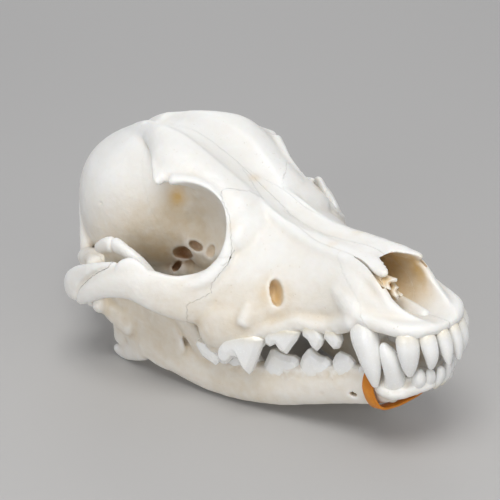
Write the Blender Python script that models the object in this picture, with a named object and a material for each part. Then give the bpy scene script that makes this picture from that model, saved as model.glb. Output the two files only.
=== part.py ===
# Dog skull, life size: the bones of the head and the lower jaw, with their teeth, and the
# rubber band that holds the mouth shut.
#
# Shapes are given in millimetres in the skull's own frame: x runs forward from the rear of
# the head, y to the animal's left and z up, with the mouth at about z = -5. The finished
# bones are turned nose up and set down on the lower jaw's own resting points.

import math

import bmesh
import bpy
import numpy as np
from mathutils import Matrix, Vector
from mathutils.geometry import convex_hull_2d

MM = 0.001
SIDES = {"right": -1.0, "left": 1.0}

# The gap between neighbouring bones, and the rubber band, in millimetres.
BONE_GAP = 0.3
BAND_PLACE = 140.6
BAND_WIDE = 4.2
BAND_THICK = 0.9
BAND_STEPS = 28

# Seams across the head: x and z of the top and the bottom of each, how wide it is and how
# far it runs on past both ends.
NAPE_SEAM = ((3, 44), (14, 0), 70, 20)
CROWN_SEAM = ((50, 59), (62, 0), 66, 22)
FACE_SEAM = ((86, 46), (75, 0), 58, 22)
NOSE_SEAM = ((132, 23.2), (149.5, 3.4), 40, 16)

# Seams on each side of the head: the middle of each, its length's direction, a direction near
# its height's, and its two sizes in its own plane.
SIDE_SEAMS = {
    "socket_seam": ((33, 29, 12), (1, 0, 0), (0, 1, 0), (44, 40)),
    "arch_seam": ((50.5, 44, 18), (30, 0, 16.5), (0, 0, 1), (37, 26)),
    "cheek_seam": ((84.5, 22.5, 13.8), (-11.5, 8.5, -19), (13.9, -12.9, -14.2), (34, 36)),
    "rim_seam": ((90.5, 22, 25.2), (1, 0, 0), (0, 0, 1), (16, 24)),
}

# How finely the bones are worked.
GRAIN = 1.1
ROUNDING = 7
SKULL_FACES = 9000
JAW_FACES = 1800
SHARE_KEPT = 0.72

# The head lies nose up by this angle, resting on the lower jaw.
NOSE_UP = math.radians(11.0)

BONE = (0.86, 0.82, 0.74)
RUBBER = (0.85, 0.42, 0.08)


def clear_scene():
    """Empties the file that the skull is built in."""
    for thing in list(bpy.data.objects):
        bpy.data.objects.remove(thing, do_unlink=True)


def finish_material(name, colour, roughness):
    """A plain surface of one colour and gloss."""
    material = bpy.data.materials.new(name)
    material.use_nodes = True
    shader = material.node_tree.nodes["Principled BSDF"]
    shader.inputs["Base Color"].default_value = (*colour, 1.0)
    shader.inputs["Roughness"].default_value = roughness
    shader.inputs["Metallic"].default_value = 0.0
    return material


def flow(rows, at_ends, count):
    """Reads rows of numbers off smooth curves, closer together near both ends."""
    rows = np.array(rows, dtype=float)
    gaps = np.linalg.norm(np.diff(rows[:, :3], axis=0), axis=1)
    along = np.concatenate([[0.0], np.cumsum(gaps)])
    slopes = np.gradient(rows, along, axis=0)
    caps = at_ends * (1.0 - np.cos(np.radians([14.0, 32.0, 52.0, 74.0])))
    middle = np.linspace(at_ends, along[-1] - at_ends, count)
    places = np.concatenate([caps, middle, along[-1] - caps[::-1]])
    step = np.clip(np.searchsorted(along, places, side="right") - 1, 0, len(gaps) - 1)
    span = gaps[step][:, None]
    t = (places - along[step])[:, None] / span
    values = (
        (2 * t**3 - 3 * t**2 + 1) * rows[step]
        + (t**3 - 2 * t**2 + t) * span * slopes[step]
        + (3 * t**2 - 2 * t**3) * rows[step + 1]
        + (t**3 - t**2) * span * slopes[step + 1]
    )
    from_end = np.minimum(places, along[-1] - places)
    swell = np.sqrt(np.clip(1.0 - (1.0 - np.clip(from_end / at_ends, 0, 1)) ** 2, 0, 1))
    return values, swell, rows[0, :3], rows[-1, :3]


def bar(name, rows, side=1.0, upright=False, square=2.2, taper=0.0, up=(0, 0, 1), count=14, round_=20):
    """A closed bar with round ends along a smooth path.

    Each row holds x, y, z, half width and half height, and may hold a taper. An upright
    bar keeps its sections square to x, and another turns them with its path.
    """
    rows = np.array(rows, dtype=float)
    rows[:, 1] *= side
    if rows.shape[1] == 5:
        rows = np.column_stack([rows, np.full(len(rows), taper)])
    length = np.linalg.norm(np.diff(rows[:, :3], axis=0), axis=1).sum()
    cap = min(rows[0, 3:5].min(), rows[-1, 3:5].min(), 0.3 * length)
    values, swell, first, last = flow(rows, cap, count)
    centres = values[:, :3]
    if upright:
        across = np.tile([0.0, 1.0, 0.0], (len(centres), 1))
        rise = np.tile([0.0, 0.0, 1.0], (len(centres), 1))
    else:
        ahead = np.gradient(centres, axis=0)
        ahead /= np.linalg.norm(ahead, axis=1)[:, None]
        across = np.cross(np.array(up, dtype=float), ahead)
        across /= np.linalg.norm(across, axis=1)[:, None]
        rise = np.cross(ahead, across)
    mesh = bmesh.new()
    rings = []
    for place in range(len(centres)):
        ring = []
        for turn in range(round_):
            angle = math.tau * turn / round_
            wide = abs(math.cos(angle)) ** (2.0 / square) * math.copysign(1.0, math.cos(angle))
            high = abs(math.sin(angle)) ** (2.0 / square) * math.copysign(1.0, math.sin(angle))
            wide *= values[place, 3] * swell[place] * (1.0 + values[place, 5] * high)
            high *= values[place, 4] * swell[place]
            point = centres[place] + across[place] * wide + rise[place] * high
            ring.append(mesh.verts.new(point * MM))
        rings.append(ring)
    for ring, after in zip(rings, rings[1:]):
        for turn in range(round_):
            beside = (turn + 1) % round_
            mesh.faces.new((ring[turn], ring[beside], after[beside], after[turn]))
    for ring, end in ((rings[0], first), (rings[-1], last)):
        tip = mesh.verts.new(end * MM)
        for turn in range(round_):
            mesh.faces.new((ring[turn], ring[(turn + 1) % round_], tip))
    bmesh.ops.recalc_face_normals(mesh, faces=mesh.faces)
    return solid(name, mesh)


def knob(name, centre, radii, side=1.0, yaw=0.0, pitch=0.0):
    """A round swelling, turned about z and then y."""
    bpy.ops.mesh.primitive_uv_sphere_add(segments=20, ring_count=12, radius=1.0)
    ball = bpy.context.object
    ball.name = name
    place = np.array(centre, dtype=float) * (1.0, side, 1.0)
    points = np.empty(len(ball.data.vertices) * 3)
    ball.data.vertices.foreach_get("co", points)
    points = points.reshape(-1, 3) * radii
    a, b = math.radians(pitch), math.radians(yaw) * side
    tip = np.array([[math.cos(a), 0, math.sin(a)], [0, 1, 0], [-math.sin(a), 0, math.cos(a)]])
    swing = np.array([[math.cos(b), -math.sin(b), 0], [math.sin(b), math.cos(b), 0], [0, 0, 1]])
    points = (points @ tip.T @ swing.T + place) * MM
    ball.data.vertices.foreach_set("co", points.ravel())
    ball.data.update()
    return ball


def solid(name, mesh):
    """Turns an edited mesh into an object of the scene."""
    data = bpy.data.meshes.new(name)
    mesh.to_mesh(data)
    mesh.free()
    thing = bpy.data.objects.new(name, data)
    bpy.context.scene.collection.objects.link(thing)
    return thing


def settle(thing):
    """Applies what an object's modifiers do."""
    graph = bpy.context.evaluated_depsgraph_get()
    data = bpy.data.meshes.new_from_object(thing.evaluated_get(graph))
    thing.modifiers.clear()
    thing.data = data
    return thing


def combine(thing, others, operation):
    """Joins closed pieces to an object, or cuts them out of it, in one Boolean."""
    group = bpy.data.collections.new("pieces")
    for other in others:
        group.objects.link(other)
    work = thing.modifiers.new(operation.lower(), "BOOLEAN")
    work.operation = operation
    work.operand_type = "COLLECTION"
    work.collection = group
    work.solver = "MANIFOLD"
    settle(thing)
    for other in others:
        bpy.data.objects.remove(other, do_unlink=True)
    bpy.data.collections.remove(group)
    return thing


def grow(thing, grain, rounds):
    """Gives a fused shape one even skin and rounds its joins, as bone grows."""
    skin = thing.modifiers.new("skin", "REMESH")
    skin.mode = "VOXEL"
    skin.voxel_size = grain * MM
    ease = thing.modifiers.new("ease", "SMOOTH")
    ease.factor = 0.5
    ease.iterations = rounds
    return settle(thing)


def thin_out(thing, share):
    """Keeps about such a share of an object's triangles."""
    fewer = thing.modifiers.new("fewer", "DECIMATE")
    fewer.ratio = min(1.0, share)
    return settle(thing)


def triangles(thing):
    """How many triangles an object's faces make."""
    return sum(len(face.vertices) - 2 for face in thing.data.polygons)


def closed_surfaces(mesh):
    """The faces of each closed surface of a mesh, the largest surface first."""
    left = set(mesh.faces)
    surfaces = []
    while left:
        surface = [left.pop()]
        for face in surface:
            for edge in face.edges:
                for near in edge.link_faces:
                    if near in left:
                        left.remove(near)
                        surface.append(near)
        surfaces.append(surface)
    return sorted(surfaces, key=lambda surface: -sum(face.calc_area() for face in surface))


def keep_largest(thing):
    """Drops every closed surface of an object but its largest."""
    mesh = bmesh.new()
    mesh.from_mesh(thing.data)
    for surface in closed_surfaces(mesh)[1:]:
        bmesh.ops.delete(mesh, geom=surface, context="FACES")
    mesh.to_mesh(thing.data)
    mesh.free()
    return thing


def braincase_pieces():
    """The round rear of the head, with its base, crests, ear capsules and jaw sockets."""
    pieces = [
        bar("braincase", [
            (2.5, 0, 26.5, 11, 15.4, -0.04), (7, 0, 28.5, 15.7, 19, -0.04), (13, 0, 30.7, 20.4, 21.7, -0.04),
            (22, 0, 32.8, 24.8, 23.9, -0.02), (32, 0, 34, 26.4, 24.7, 0), (42, 0, 34.6, 25, 25.2, 0),
            (50, 0, 34.2, 21.6, 24.6, 0.03), (58, 0, 33.5, 17.4, 23.5, 0.05), (66, 0, 32, 14.5, 21, 0),
        ], upright=True, square=2.25, count=24, round_=32),
        bar("base", [
            (-1, 0, 9, 6, 3.5), (20, 0, 8.5, 8, 4), (32, 0, 9, 11, 4.6), (44, 0, 10, 13.4, 5.6),
            (58, 0, 12, 12.4, 7),
        ], upright=True),
        bar("nape_crest", [
            (13.6, -23.2, 12, 2.2, 3), (11.4, -19, 25, 2, 2.4), (6, -12, 36, 1.9, 2.2),
            (1.5, 0, 42.5, 2.4, 2.6),
            (6, 12, 36, 1.9, 2.2), (11.4, 19, 25, 2, 2.4), (13.6, 23.2, 12, 2.2, 3),
        ], up=(1, 0, 0), count=30),
        bar("midline_ridge", [(2, 0, 42.5, 1.8, 2), (9, 0, 49.4, 1.6, 1.8), (22, 0, 55.6, 1.4, 1.4)]),
    ]
    for side in SIDES.values():
        pieces += [
            knob("condyle", (1.4, 8.6, 11.6), (5.4, 5, 7.4), side, yaw=-25),
            bar("beside_ear", [(9, 18.5, 13, 4, 3), (7, 19.5, 4, 3, 2.4), (6, 19.5, -3.5, 1.8, 1.6)], side,
                up=(1, 0, 0)),
            bar("nape_wing", [(4.5, 8, 15, 3.4, 5.5), (6.5, 14, 14, 3.2, 5), (8.6, 19, 12.5, 2.8, 4)], side),
            knob("ear_capsule", (21.6, 14.5, 4.5), (8.8, 7.6, 7.6), side, yaw=18),
            knob("ear_rim", (18.2, 23.4, 11), (6.4, 4.3, 6.5), side),
            bar("jaw_socket", [
                (30, 22, 15, 11, 5.5), (30.5, 30, 13, 8.5, 4), (32.5, 38, 13.2, 6, 4.2),
                (36.5, 43.5, 15.2, 3.8, 5.4),
                (45, 46, 18.6, 2.5, 5.3), (56, 46.3, 22, 2.2, 4.4), (66, 44.2, 24.3, 2, 3),
            ], side, count=22),
            bar("socket_lip", [(24.5, 26, 6, 1.8, 5), (24.5, 34, 5.5, 1.8, 5)], side),
        ]
    return pieces


def forehead_pieces():
    """The brow, its paired domes and pointed corners, and the wall between the orbits."""
    pieces = [
        bar("brow", [
            (34, 0, 50, 6, 8.4), (42, 0, 50, 9, 9), (50, 0, 50.2, 13, 9), (57, 0, 50.4, 17, 9),
            (64, 0, 50.2, 21, 8.6),
            (70, 0, 49.4, 23.2, 7.6), (77, 0, 47, 21.2, 7.2), (84, 0, 42.6, 18.4, 7.4),
            (90, 0, 36.4, 18.6, 8.4),
            (96, 0, 30, 21, 8.4), (103, 0, 26, 20.4, 7),
        ], upright=True, count=22, round_=32),
        bar("orbit_wall", [
            (50, 0, 30, 19, 20), (58, 0, 28, 15.5, 20), (66, 0, 26, 13, 21), (74, 0, 24, 12.4, 22),
            (82, 0, 21, 13.6, 22), (90, 0, 18, 17, 20), (98, 0, 16, 20, 17),
        ], upright=True, count=20, round_=28),
    ]
    for side in SIDES.values():
        pieces += [
            bar("brow_dome", [
                (28, 4, 49.4, 5, 8.4), (38, 4.4, 50.8, 6, 10.3), (47, 5.6, 51, 7.2, 10.7),
                (56, 8, 51, 9, 10.5),
                (64, 10.4, 50, 10.8, 10), (72, 10.8, 47.8, 10.4, 9.6), (80, 10.2, 43.6, 9.2, 9),
                (88, 9.2, 38, 8.2, 8),
                (98, 8.4, 31, 7.2, 7),
            ], side, upright=True, count=18),
            bar("brow_corner", [(58, 13, 51, 5.5, 4.6), (64, 18, 51, 5, 3.8), (68, 22, 50, 3.6, 2.4),
                                (71.2, 26.6, 47.8, 1.5, 1.4)], side),
            bar("orbit_rim", [
                (74, 23.4, 48.4, 2, 2), (80, 19.3, 47.2, 2, 2), (86, 16.6, 43.2, 2.2, 2.2),
                (91, 17.2, 36.4, 2.4, 2.4),
                (94.2, 20, 29, 2.8, 2.8), (95, 23.8, 22, 3, 3),
            ], side, up=(0, 1, 0)),
        ]
    return pieces


def cheek_pieces():
    """The cheekbones, from the upper jaw out and back along the arch."""
    pieces = []
    for side in SIDES.values():
        pieces += [
            bar("cheekbone", [
                (99, 20, 13, 5.4, 7.6), (92.4, 25.4, 12.8, 4.4, 8.8), (85.5, 32.4, 13, 3.6, 8.6),
                (78, 38.4, 16.2, 2.9, 7.4),
                (69, 43.4, 19.6, 2.4, 5.5), (58, 45.8, 18.4, 2.2, 3.6), (48, 46.3, 15, 2, 2.8),
                (40, 45.2, 12, 1.8, 2),
            ], side, count=24),
            bar("cheek_corner", [(71.4, 42.8, 22, 2, 3.4), (69, 42.5, 26.4, 1.7, 2.6),
                                 (67.6, 42.3, 30.6, 1.2, 1.3)], side,
                up=(1, 0, 0)),
        ]
    return pieces


def muzzle_pieces():
    """The upper jaw and the nose, with the roots of the large teeth raised in it."""
    pieces = [
        bar("muzzle", [
            (76, 0, 2, 18, 7, 0), (81, 0, 4, 24, 10, -0.05), (86, 0, 7.5, 27.6, 13.5, -0.1),
            (93, 0, 14, 28.6, 18, -0.26), (100, 0, 15, 26.4, 17.2, -0.3), (108, 0, 14, 23, 15.2, -0.3),
            (116, 0, 13.6, 19.8, 13.2, -0.28), (124, 0, 13.6, 17, 12.2, -0.24),
            (132, 0, 13.6, 15.4, 11.5, -0.2),
            (140, 0, 13.2, 14.8, 10.8, -0.18), (148, 0, 10.8, 13.2, 8.6, -0.16), (154, 0, 8, 11.4, 6.6, -0.1),
            (159, 0, 6, 8.9, 5.2, 0), (162.4, 0, 4.6, 5.2, 3.6, 0),
        ], upright=True, square=2.5, count=34, round_=36),
    ]
    for side in SIDES.values():
        pieces += [
            bar("nose_bone", [
                (76, 1.6, 43.4, 2.4, 2.4), (84, 2, 41.4, 3, 3), (92, 3.1, 37.6, 3, 3),
                (100, 4.2, 33.2, 3.2, 3),
                (108, 4.3, 28.9, 3.4, 3), (116, 4.6, 25.7, 3.8, 2.8), (126, 4.9, 23.9, 4.2, 2.4),
                (136, 5, 22.7, 4.3, 2), (144, 5.8, 21.5, 3.3, 1.7),
                (151, 7.4, 19.7, 1.7, 1.3),
            ], side, count=20),
            bar("nose_rim", [
                (159.6, 2.8, 6.6, 2.2, 2), (156.4, 6.6, 8, 2.1, 2.1), (151.6, 8.7, 11.6, 1.9, 1.9),
                (147.6, 9, 16.6, 1.8, 1.8),
                (141, 8.5, 20, 1.9, 1.9), (132, 8, 21.6, 1.8, 1.8), (124, 7.6, 21.6, 1.6, 1.6),
            ], side, up=(0, 1, 0)),
            bar("canine_root", [
                (145, 13.2, 4, 3.8, 4.4), (141, 13, 8, 4, 4.8), (136, 12, 12.4, 4, 4.8),
                (129, 10, 15.6, 3.8, 4),
                (121, 9, 16, 2.6, 2.6),
            ], side),
            bar("carnassial_root", [(103, 25.4, 2, 6.4, 3.6), (104, 22.4, 8, 5.4, 3.4),
                                    (104, 17.6, 13, 4, 2.8)], side,
                up=(1, 0, 0)),
            bar("tooth_ridge", [
                (79, 20, -2.6, 4, 2.6), (86, 25.6, -1.8, 4, 3.2), (96, 26.4, -0.4, 3.4, 3.2),
                (107, 22.4, 1.6, 2.8, 3),
                (119, 17.6, 2.8, 2.6, 2.8), (131, 14.2, 3.6, 2.6, 2.6), (143, 13.4, 6, 3.6, 3.4),
            ], side, count=18),
            bar("molar_ridge", [(90, 25.6, 3, 3.6, 6), (82, 24.4, 2, 3.2, 5), (76.5, 22, 1.4, 2.8, 4)], side),
            bar("palate_wing", [(84, 11, 2, 2.4, 7), (74, 10, 4, 2.2, 8), (62, 9, 6, 1.8, 7),
                                (52, 8.4, 6.5, 1.3, 5)], side),
        ]
    return pieces


def skull_openings():
    """What is hollow: orbits, nose, rear passage, brain opening, ears and canals."""
    cutters = [
        bar("nose_passage", [
            (172, 0, 14.5, 8, 9), (160, 0, 15.3, 7.6, 8.2), (153, 0, 15, 8.2, 8.4), (146, 0, 14.6, 8, 8.2),
            (134, 0, 13.8, 7.4, 7.8), (120, 0, 13.6, 6.6, 7.6), (106, 0, 14, 5.4, 6.4),
        ], upright=True, square=2.4),
        bar("brain_opening", [(-14, 0, 16, 7.2, 6.4), (0, 0, 17, 7.2, 6.4), (8, 0, 20, 9, 8),
                              (26, 0, 28, 14, 12)],
            upright=True),
        bar("rear_passage", [(44, 0, 0.5, 6.4, 4.6), (60, 0, 2, 6.4, 4.6), (76, 0, 4, 6.2, 4.6),
                             (90, 0, 6, 5.4, 4)],
            upright=True),
        bar("palate_vault", [
            (62, 0, -8.5, 9, 4), (76, 0, -8, 13, 5), (90, 0, -6.4, 16.5, 6), (104, 0, -4.6, 14, 6),
            (120, 0, -2.4, 10.5, 5.4),
            (136, 0, -0.6, 9.5, 5), (150, 0, -0.6, 8.6, 4.6), (158, 0, -2, 6, 4),
        ], upright=True, square=2.6, round_=28),
        bar("brow_valley", [
            (40, 0, 69.4, 9, 10), (50, 0, 69, 9.5, 10), (59, 0, 68.4, 10, 10.4), (66.5, 0, 66.4, 10.5, 10.8),
            (73.4, 0, 63, 10.5, 10.8), (80, 0, 59, 10.5, 10.6), (88.8, 0, 52.6, 9.6, 10.3),
            (96, 0, 46.4, 8.6, 9.5),
            (104, 0, 39.6, 7.6, 8), (112, 0, 34.4, 6.4, 6), (122, 0, 30.6, 5, 4),
        ], upright=True, count=26),
    ]
    for side in SIDES.values():
        cutters += [
            bar("orbit", [
                (94, 56, 50, 16, 15.5), (87, 40, 41, 16, 15.5), (82.4, 29.5, 35.2, 15.6, 15),
                (78, 23.6, 31.4, 14, 14),
                (70, 21, 28, 12, 13), (60, 24, 26, 9, 14),
            ], side, count=20, round_=28),
            bar("cheek_canal", [(122, 24, 16, 1.8, 3), (112, 21, 14, 2, 3.2), (104, 16, 13, 2, 3)], side),
            bar("ear_hole", [(15, 34, 9.5, 3, 3), (17, 22, 9, 2.8, 2.8), (19, 16, 7, 3, 3)], side),
            bar("condyle_room", [(31.5, 20, 3.4, 4.6, 4.6), (33, 30, 4, 4.6, 4.6),
                                 (34.5, 42, 4.8, 4.4, 4.4)], side),
        ]
    return cutters


# The teeth that stand as pegs: root, neck, belly and tip, each with its place, half
# thickness from cheek to tongue and half length along the row, and the row's direction.
UPPER_PEGS = {
    "incisor_1": (90, [(160.5, 2.1, 6.5, 2, 1.6), (164, 2.3, 1.5, 2.5, 2), (164.8, 2.3, -4, 2.1, 2.1),
                       (162.9, 2.2, -9, 0.8, 1.5)]),
    "incisor_2": (112, [(158.4, 6, 7, 2.1, 1.8), (161.6, 6.6, 1.8, 2.6, 2.2), (162.3, 6.9, -4, 2.2, 2.3),
                        (160.5, 6.8, -9.4, 0.8, 1.6)]),
    "incisor_3": (140, [(153.6, 9, 8, 2.4, 2.2), (156.8, 10.4, 2.2, 2.9, 3), (157.6, 11, -4, 2.5, 2.8),
                        (156, 11.3, -10.8, 0.9, 1.2)]),
    "canine": (180, [(138, 12.6, 12, 2.6, 3.4), (142.9, 13.8, 4.6, 3, 4.4), (145.1, 15.2, -4, 2.7, 3.4),
                     (146, 15.5, -10, 1.9, 2.2), (145.2, 15.6, -14.6, 0.7, 0.8)]),
}
LOWER_PEGS = {
    "incisor_1": (90, [(155.2, 1.7, -17, 1.4, 1.1), (157.8, 1.8, -14.4, 1.8, 1.4),
                       (159.2, 1.8, -10.2, 0.7, 1.4)]),
    "incisor_2": (110, [(153.2, 4.2, -17.6, 1.6, 1.3), (155.8, 4.6, -14.6, 2, 1.6),
                        (157.4, 4.8, -10, 0.8, 1.6)]),
    "incisor_3": (130, [(150.4, 6.6, -18, 1.8, 1.5), (152.8, 7.4, -14.8, 2.2, 1.9),
                        (154.2, 8, -10, 0.8, 1.7)]),
    "canine": (160, [(142, 8.6, -20, 2.6, 3), (147.2, 9.9, -15, 3, 4), (150.9, 11.5, -8, 2.6, 3.1),
                     (151.8, 12.9, -2.6, 1.7, 1.9), (151.7, 13.5, 0.4, 0.7, 0.8)]),
}
# The cheek teeth: place of the neck, half length, half thickness, the row's direction, and
# for each cusp its place along and across the tooth and its height.
UPPER_CHEEK = {
    "premolar_1": ((131.4, 15.2, 0.6), 3.1, 1.8, -14, [(0.4, 0, 4.8)]),
    "premolar_2": ((123.8, 17.2, 1.2), 4.2, 2, -18, [(0.8, 0, 6.2), (-2.4, 0, 3.4)]),
    "premolar_3": ((113.4, 20.8, 0.4), 5.8, 2.3, -20, [(0.8, 0, 6.6), (-3.6, 0, 4)]),
    "carnassial": ((99.6, 26, -1.6), 8.2, 3.2, -16, [(2, 0.6, 10.6), (-4.4, 0.6, 7), (5.8, -3, 4)]),
    "molar_1": ((86.2, 26, -3.4), 4.6, 5.4, -4, [(2.2, 3, 6.4), (-2.2, 2.8, 5.6), (0.4, -2.6, 4.4)]),
    "molar_2": ((78.6, 21.6, -3.4), 2.8, 4.2, 4, [(0, 1.8, 4.2), (0, -1.8, 3.4)]),
}
LOWER_CHEEK = {
    "premolar_1": ((135, 10, -12.2), 2, 1.4, -12, [(0.2, 0, 2.4)]),
    "premolar_2": ((127.2, 11.2, -12.8), 3.6, 1.8, -14, [(0.4, 0, 5.6), (-2, 0, 3.2)]),
    "premolar_3": ((116.4, 13.4, -14), 5.2, 2.1, -16, [(-0.6, 0, 7.2), (3, 0, 3.4)]),
    "premolar_4": ((103.6, 16, -15.4), 5.8, 2.5, -18, [(0.4, 0, 7.8), (-3.6, 0, 4.6)]),
    "carnassial": ((88.8, 18.2, -15.6), 8.8, 3.1, -18, [(4.6, 0, 7), (0, 0, 9.2), (-5.8, 0, 4.4)]),
    "molar_2": ((76.4, 21.8, -13.6), 3.4, 2.7, -20, [(0, 0.8, 3.6)]),
    "molar_3": ((71, 23.6, -11.4), 1.7, 1.6, -20, [(0, 0, 2.4)]),
}


def teeth(pegs, cheek, side, down):
    """One side's teeth of one jaw, pointing down from the upper jaw or up from the lower."""
    pieces = []
    for name, (turn, rows) in pegs.items():
        row = (math.cos(math.radians(turn)), side * math.sin(math.radians(turn)), 0)
        pieces.append(bar(name, rows, side, up=row, count=5, round_=10, square=2.4))
    for name, ((x, y, z), half, thick, turn, cusps) in cheek.items():
        ahead, out = math.cos(math.radians(turn)), math.sin(math.radians(turn))
        start = (x - half * ahead, y - half * out, z, thick, 2.6)
        end = (x + half * ahead, y + half * out, z, thick, 2.6)
        middle = (x, y, z - 0.4 * down, thick, 3)
        pieces.append(bar(name, [start, middle, end], side, count=4, round_=10))
        for along, across, height in cusps:
            place = (x + along * ahead - across * out, y + along * out + across * ahead)
            size = 0.55 * half / (1 if len(cusps) == 1 else 1.3)
            spread = min(thick, 2.6) * 0.8
            root = (*place, z + 3 * down, spread, size)
            waist = (*place, z - 0.5 * height * down, 0.75 * spread, 0.75 * size)
            point = (*place, z - height * down, 0.5, 0.6)
            row = (ahead, side * out, 0)
            pieces.append(bar(name, [root, waist, point], side, up=row, count=3, round_=8))
    return pieces


def cranium():
    """The whole upper skull as one rounded solid."""
    pieces = braincase_pieces() + forehead_pieces() + cheek_pieces() + muzzle_pieces()
    skull = combine(pieces[0], pieces[1:], "UNION")
    combine(skull, skull_openings(), "DIFFERENCE")
    grow(skull, GRAIN, ROUNDING)
    for side in SIDES.values():
        combine(skull, teeth(UPPER_PEGS, UPPER_CHEEK, side, 1.0), "UNION")
    return thin_out(keep_largest(skull), SKULL_FACES / triangles(skull))


# About where the middle of each bone lies; those off the midline are pairs.
SKULL_BONES = {
    "occipital_bone": (5, 0, 20), "braincase": (32, 0, 30), "frontal_bone": (70, 12, 32),
    "upper_jaw": (108, 16, 8),
    "incisive_bone": (154, 7, 4), "cheekbone": (76, 38, 16), "arch_root": (42, 42, 15),
}
NOSE_BONES = {"nasal_bone": (118, 3.5, 27)}


def nose_outline(name, spare):
    """The room of both nasal bones: a wedge that widens to the tip of the nose."""
    rows = [(83.6, 42.6, 0.8), (88, 42.3, 1.6), (92, 41.3, 3.3), (96, 39.3, 4.4), (104, 34.5, 4.7),
            (112, 30.8, 5.2),
            (120, 27.9, 6.5), (132, 25.1, 7), (140, 23.8, 7.4), (146, 22.6, 8.8), (156, 21, 10.5)]
    rows = [(x, 0, z + 1, wide + spare, 4.4 + spare) for x, z, wide in rows]
    rows[0] = (rows[0][0] - spare, *rows[0][1:])
    return bar(name, rows, upright=True, square=7, count=14, round_=16)


def lower_jaw(side_name):
    """One half of the lower jaw: body, upright branch, hinge and rear hook."""
    side = SIDES[side_name]
    pieces = [
        bar("body", [
            (157, 2.4, -14, 2.4, 2.2), (152.4, 4.3, -15.4, 3.6, 3.8), (147, 7.2, -16.4, 4.7, 5.6),
            (138, 9, -17.2, 4.4, 6), (126, 11.2, -18.6, 4, 6.1), (112, 14, -20, 4.2, 6.6),
            (98, 17.2, -20.9, 4.4, 7),
            (84, 20.6, -19.8, 4.3, 7.4), (70, 24, -16.2, 3.9, 7.8), (58, 26.8, -11.8, 3.4, 7),
            (46, 28.4, -9, 3, 6.6),
        ], side, count=26, round_=24),
        bar("chin", [
            (157.4, 1.4, -14, 2, 1.6), (153, 2.4, -15.4, 3.8, 3.4), (147, 3, -17.4, 4.6, 4.8),
            (140, 3.4, -19.6, 4.8, 4.9),
            (133, 4.4, -21, 4.4, 3.6),
        ], side),
        bar("branch", [
            (46, 28, -14.4, 2.8, 11.5), (50, 28.6, -6, 2.4, 18.6), (51.6, 30.4, 3, 2, 16),
            (51, 33, 12, 1.8, 11.5),
            (49.5, 35.2, 21, 1.6, 7.6), (47.6, 36.6, 29, 1.4, 4.4),
        ], side, up=(1, 0, 0), count=18),
        bar("branch_edge", [
            (75, 23.8, -13, 2.4, 4), (71.6, 26.6, -5, 2.3, 4.4), (66.4, 29.6, 5, 2.1, 4.4),
            (61.8, 33, 16, 1.8, 3.4),
            (55.6, 36.4, 26.4, 1.6, 1.8), (50, 37.2, 29.8, 1.4, 1.6), (44, 37, 28, 1.2, 1.4),
        ], side, up=(1, 0, 0), count=18),
        bar("hinge_neck", [(47, 30.4, -4, 3, 5), (40, 31.6, 0, 2.6, 4.4), (34, 32, 3, 3, 3.4)], side),
        bar("hinge", [(32.5, 24, 2.6, 2.2, 2.2), (33.5, 30, 3.2, 3.3, 3.3), (35, 37.4, 4.8, 2.3, 2.3)], side),
        bar("rear_edge", [(36, 29.8, 1, 1.8, 3.6), (34.6, 28.6, -7, 1.8, 4),
                          (32.4, 28.2, -13.4, 1.6, 4)], side,
            up=(1, 0, 0)),
        bar("rear_hook", [
            (46, 28.4, -12, 2.6, 5), (38, 28.2, -14.6, 2.3, 4), (31.6, 28, -16, 1.9, 2.8),
            (27, 28.2, -15, 1.3, 1.5),
        ], side),
    ]
    jaw = combine(pieces[0], pieces[1:], "UNION")
    grow(jaw, GRAIN, ROUNDING)
    combine(jaw, teeth(LOWER_PEGS, LOWER_CHEEK, side, -1.0), "UNION")
    thin_out(keep_largest(jaw), JAW_FACES / triangles(jaw))
    middle = block("middle", (150, 0, -15), (1, 0, 0), (0, 0, 1), (40, 10, 30))
    middle.data.transform(Matrix.Translation((0, side * (BONE_GAP / 2 - 5) * MM, 0)))
    combine(jaw, [middle], "DIFFERENCE")
    jaw.name = "lower_jaw_" + side_name
    return keep_largest(jaw)


def elastic_band(jaws):
    """The flat rubber band stretched round both halves of the lower jaw behind the canines."""
    inside = []
    for jaw in jaws:
        for vertex in jaw.data.vertices:
            x, y, z = vertex.co / MM
            if abs(x - BAND_PLACE) < BAND_WIDE / 2 + 0.7:
                inside.append((y, z))
    outline = np.array([inside[number] for number in convex_hull_2d(inside)])
    closed = np.vstack([outline, outline[:1]])
    along = np.concatenate([[0], np.cumsum(np.linalg.norm(np.diff(closed, axis=0), axis=1))])
    places = np.linspace(0, along[-1], BAND_STEPS, endpoint=False)
    path = np.column_stack([np.interp(places, along, closed[:, axis]) for axis in range(2)])
    ahead = np.roll(path, -1, axis=0) - np.roll(path, 1, axis=0)
    outward = np.column_stack([ahead[:, 1], -ahead[:, 0]]) / np.linalg.norm(ahead, axis=1)[:, None]
    mesh = bmesh.new()
    rings = []
    for (y, z), out in zip(path, outward):
        ring = []
        for over, off in ((-0.5, 0), (0.5, 0), (0.5, BAND_THICK), (-0.5, BAND_THICK)):
            lift = 2 * BONE_GAP + off
            place = (BAND_PLACE + over * BAND_WIDE, y + out[0] * lift, z + out[1] * lift)
            ring.append(mesh.verts.new(np.array(place) * MM))
        rings.append(ring)
    for ring, after in zip(rings, rings[1:] + rings[:1]):
        for corner in range(4):
            beside = (corner + 1) % 4
            mesh.faces.new((ring[corner], ring[beside], after[beside], after[corner]))
    bmesh.ops.recalc_face_normals(mesh, faces=mesh.faces)
    return solid("elastic_band", mesh)


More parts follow.
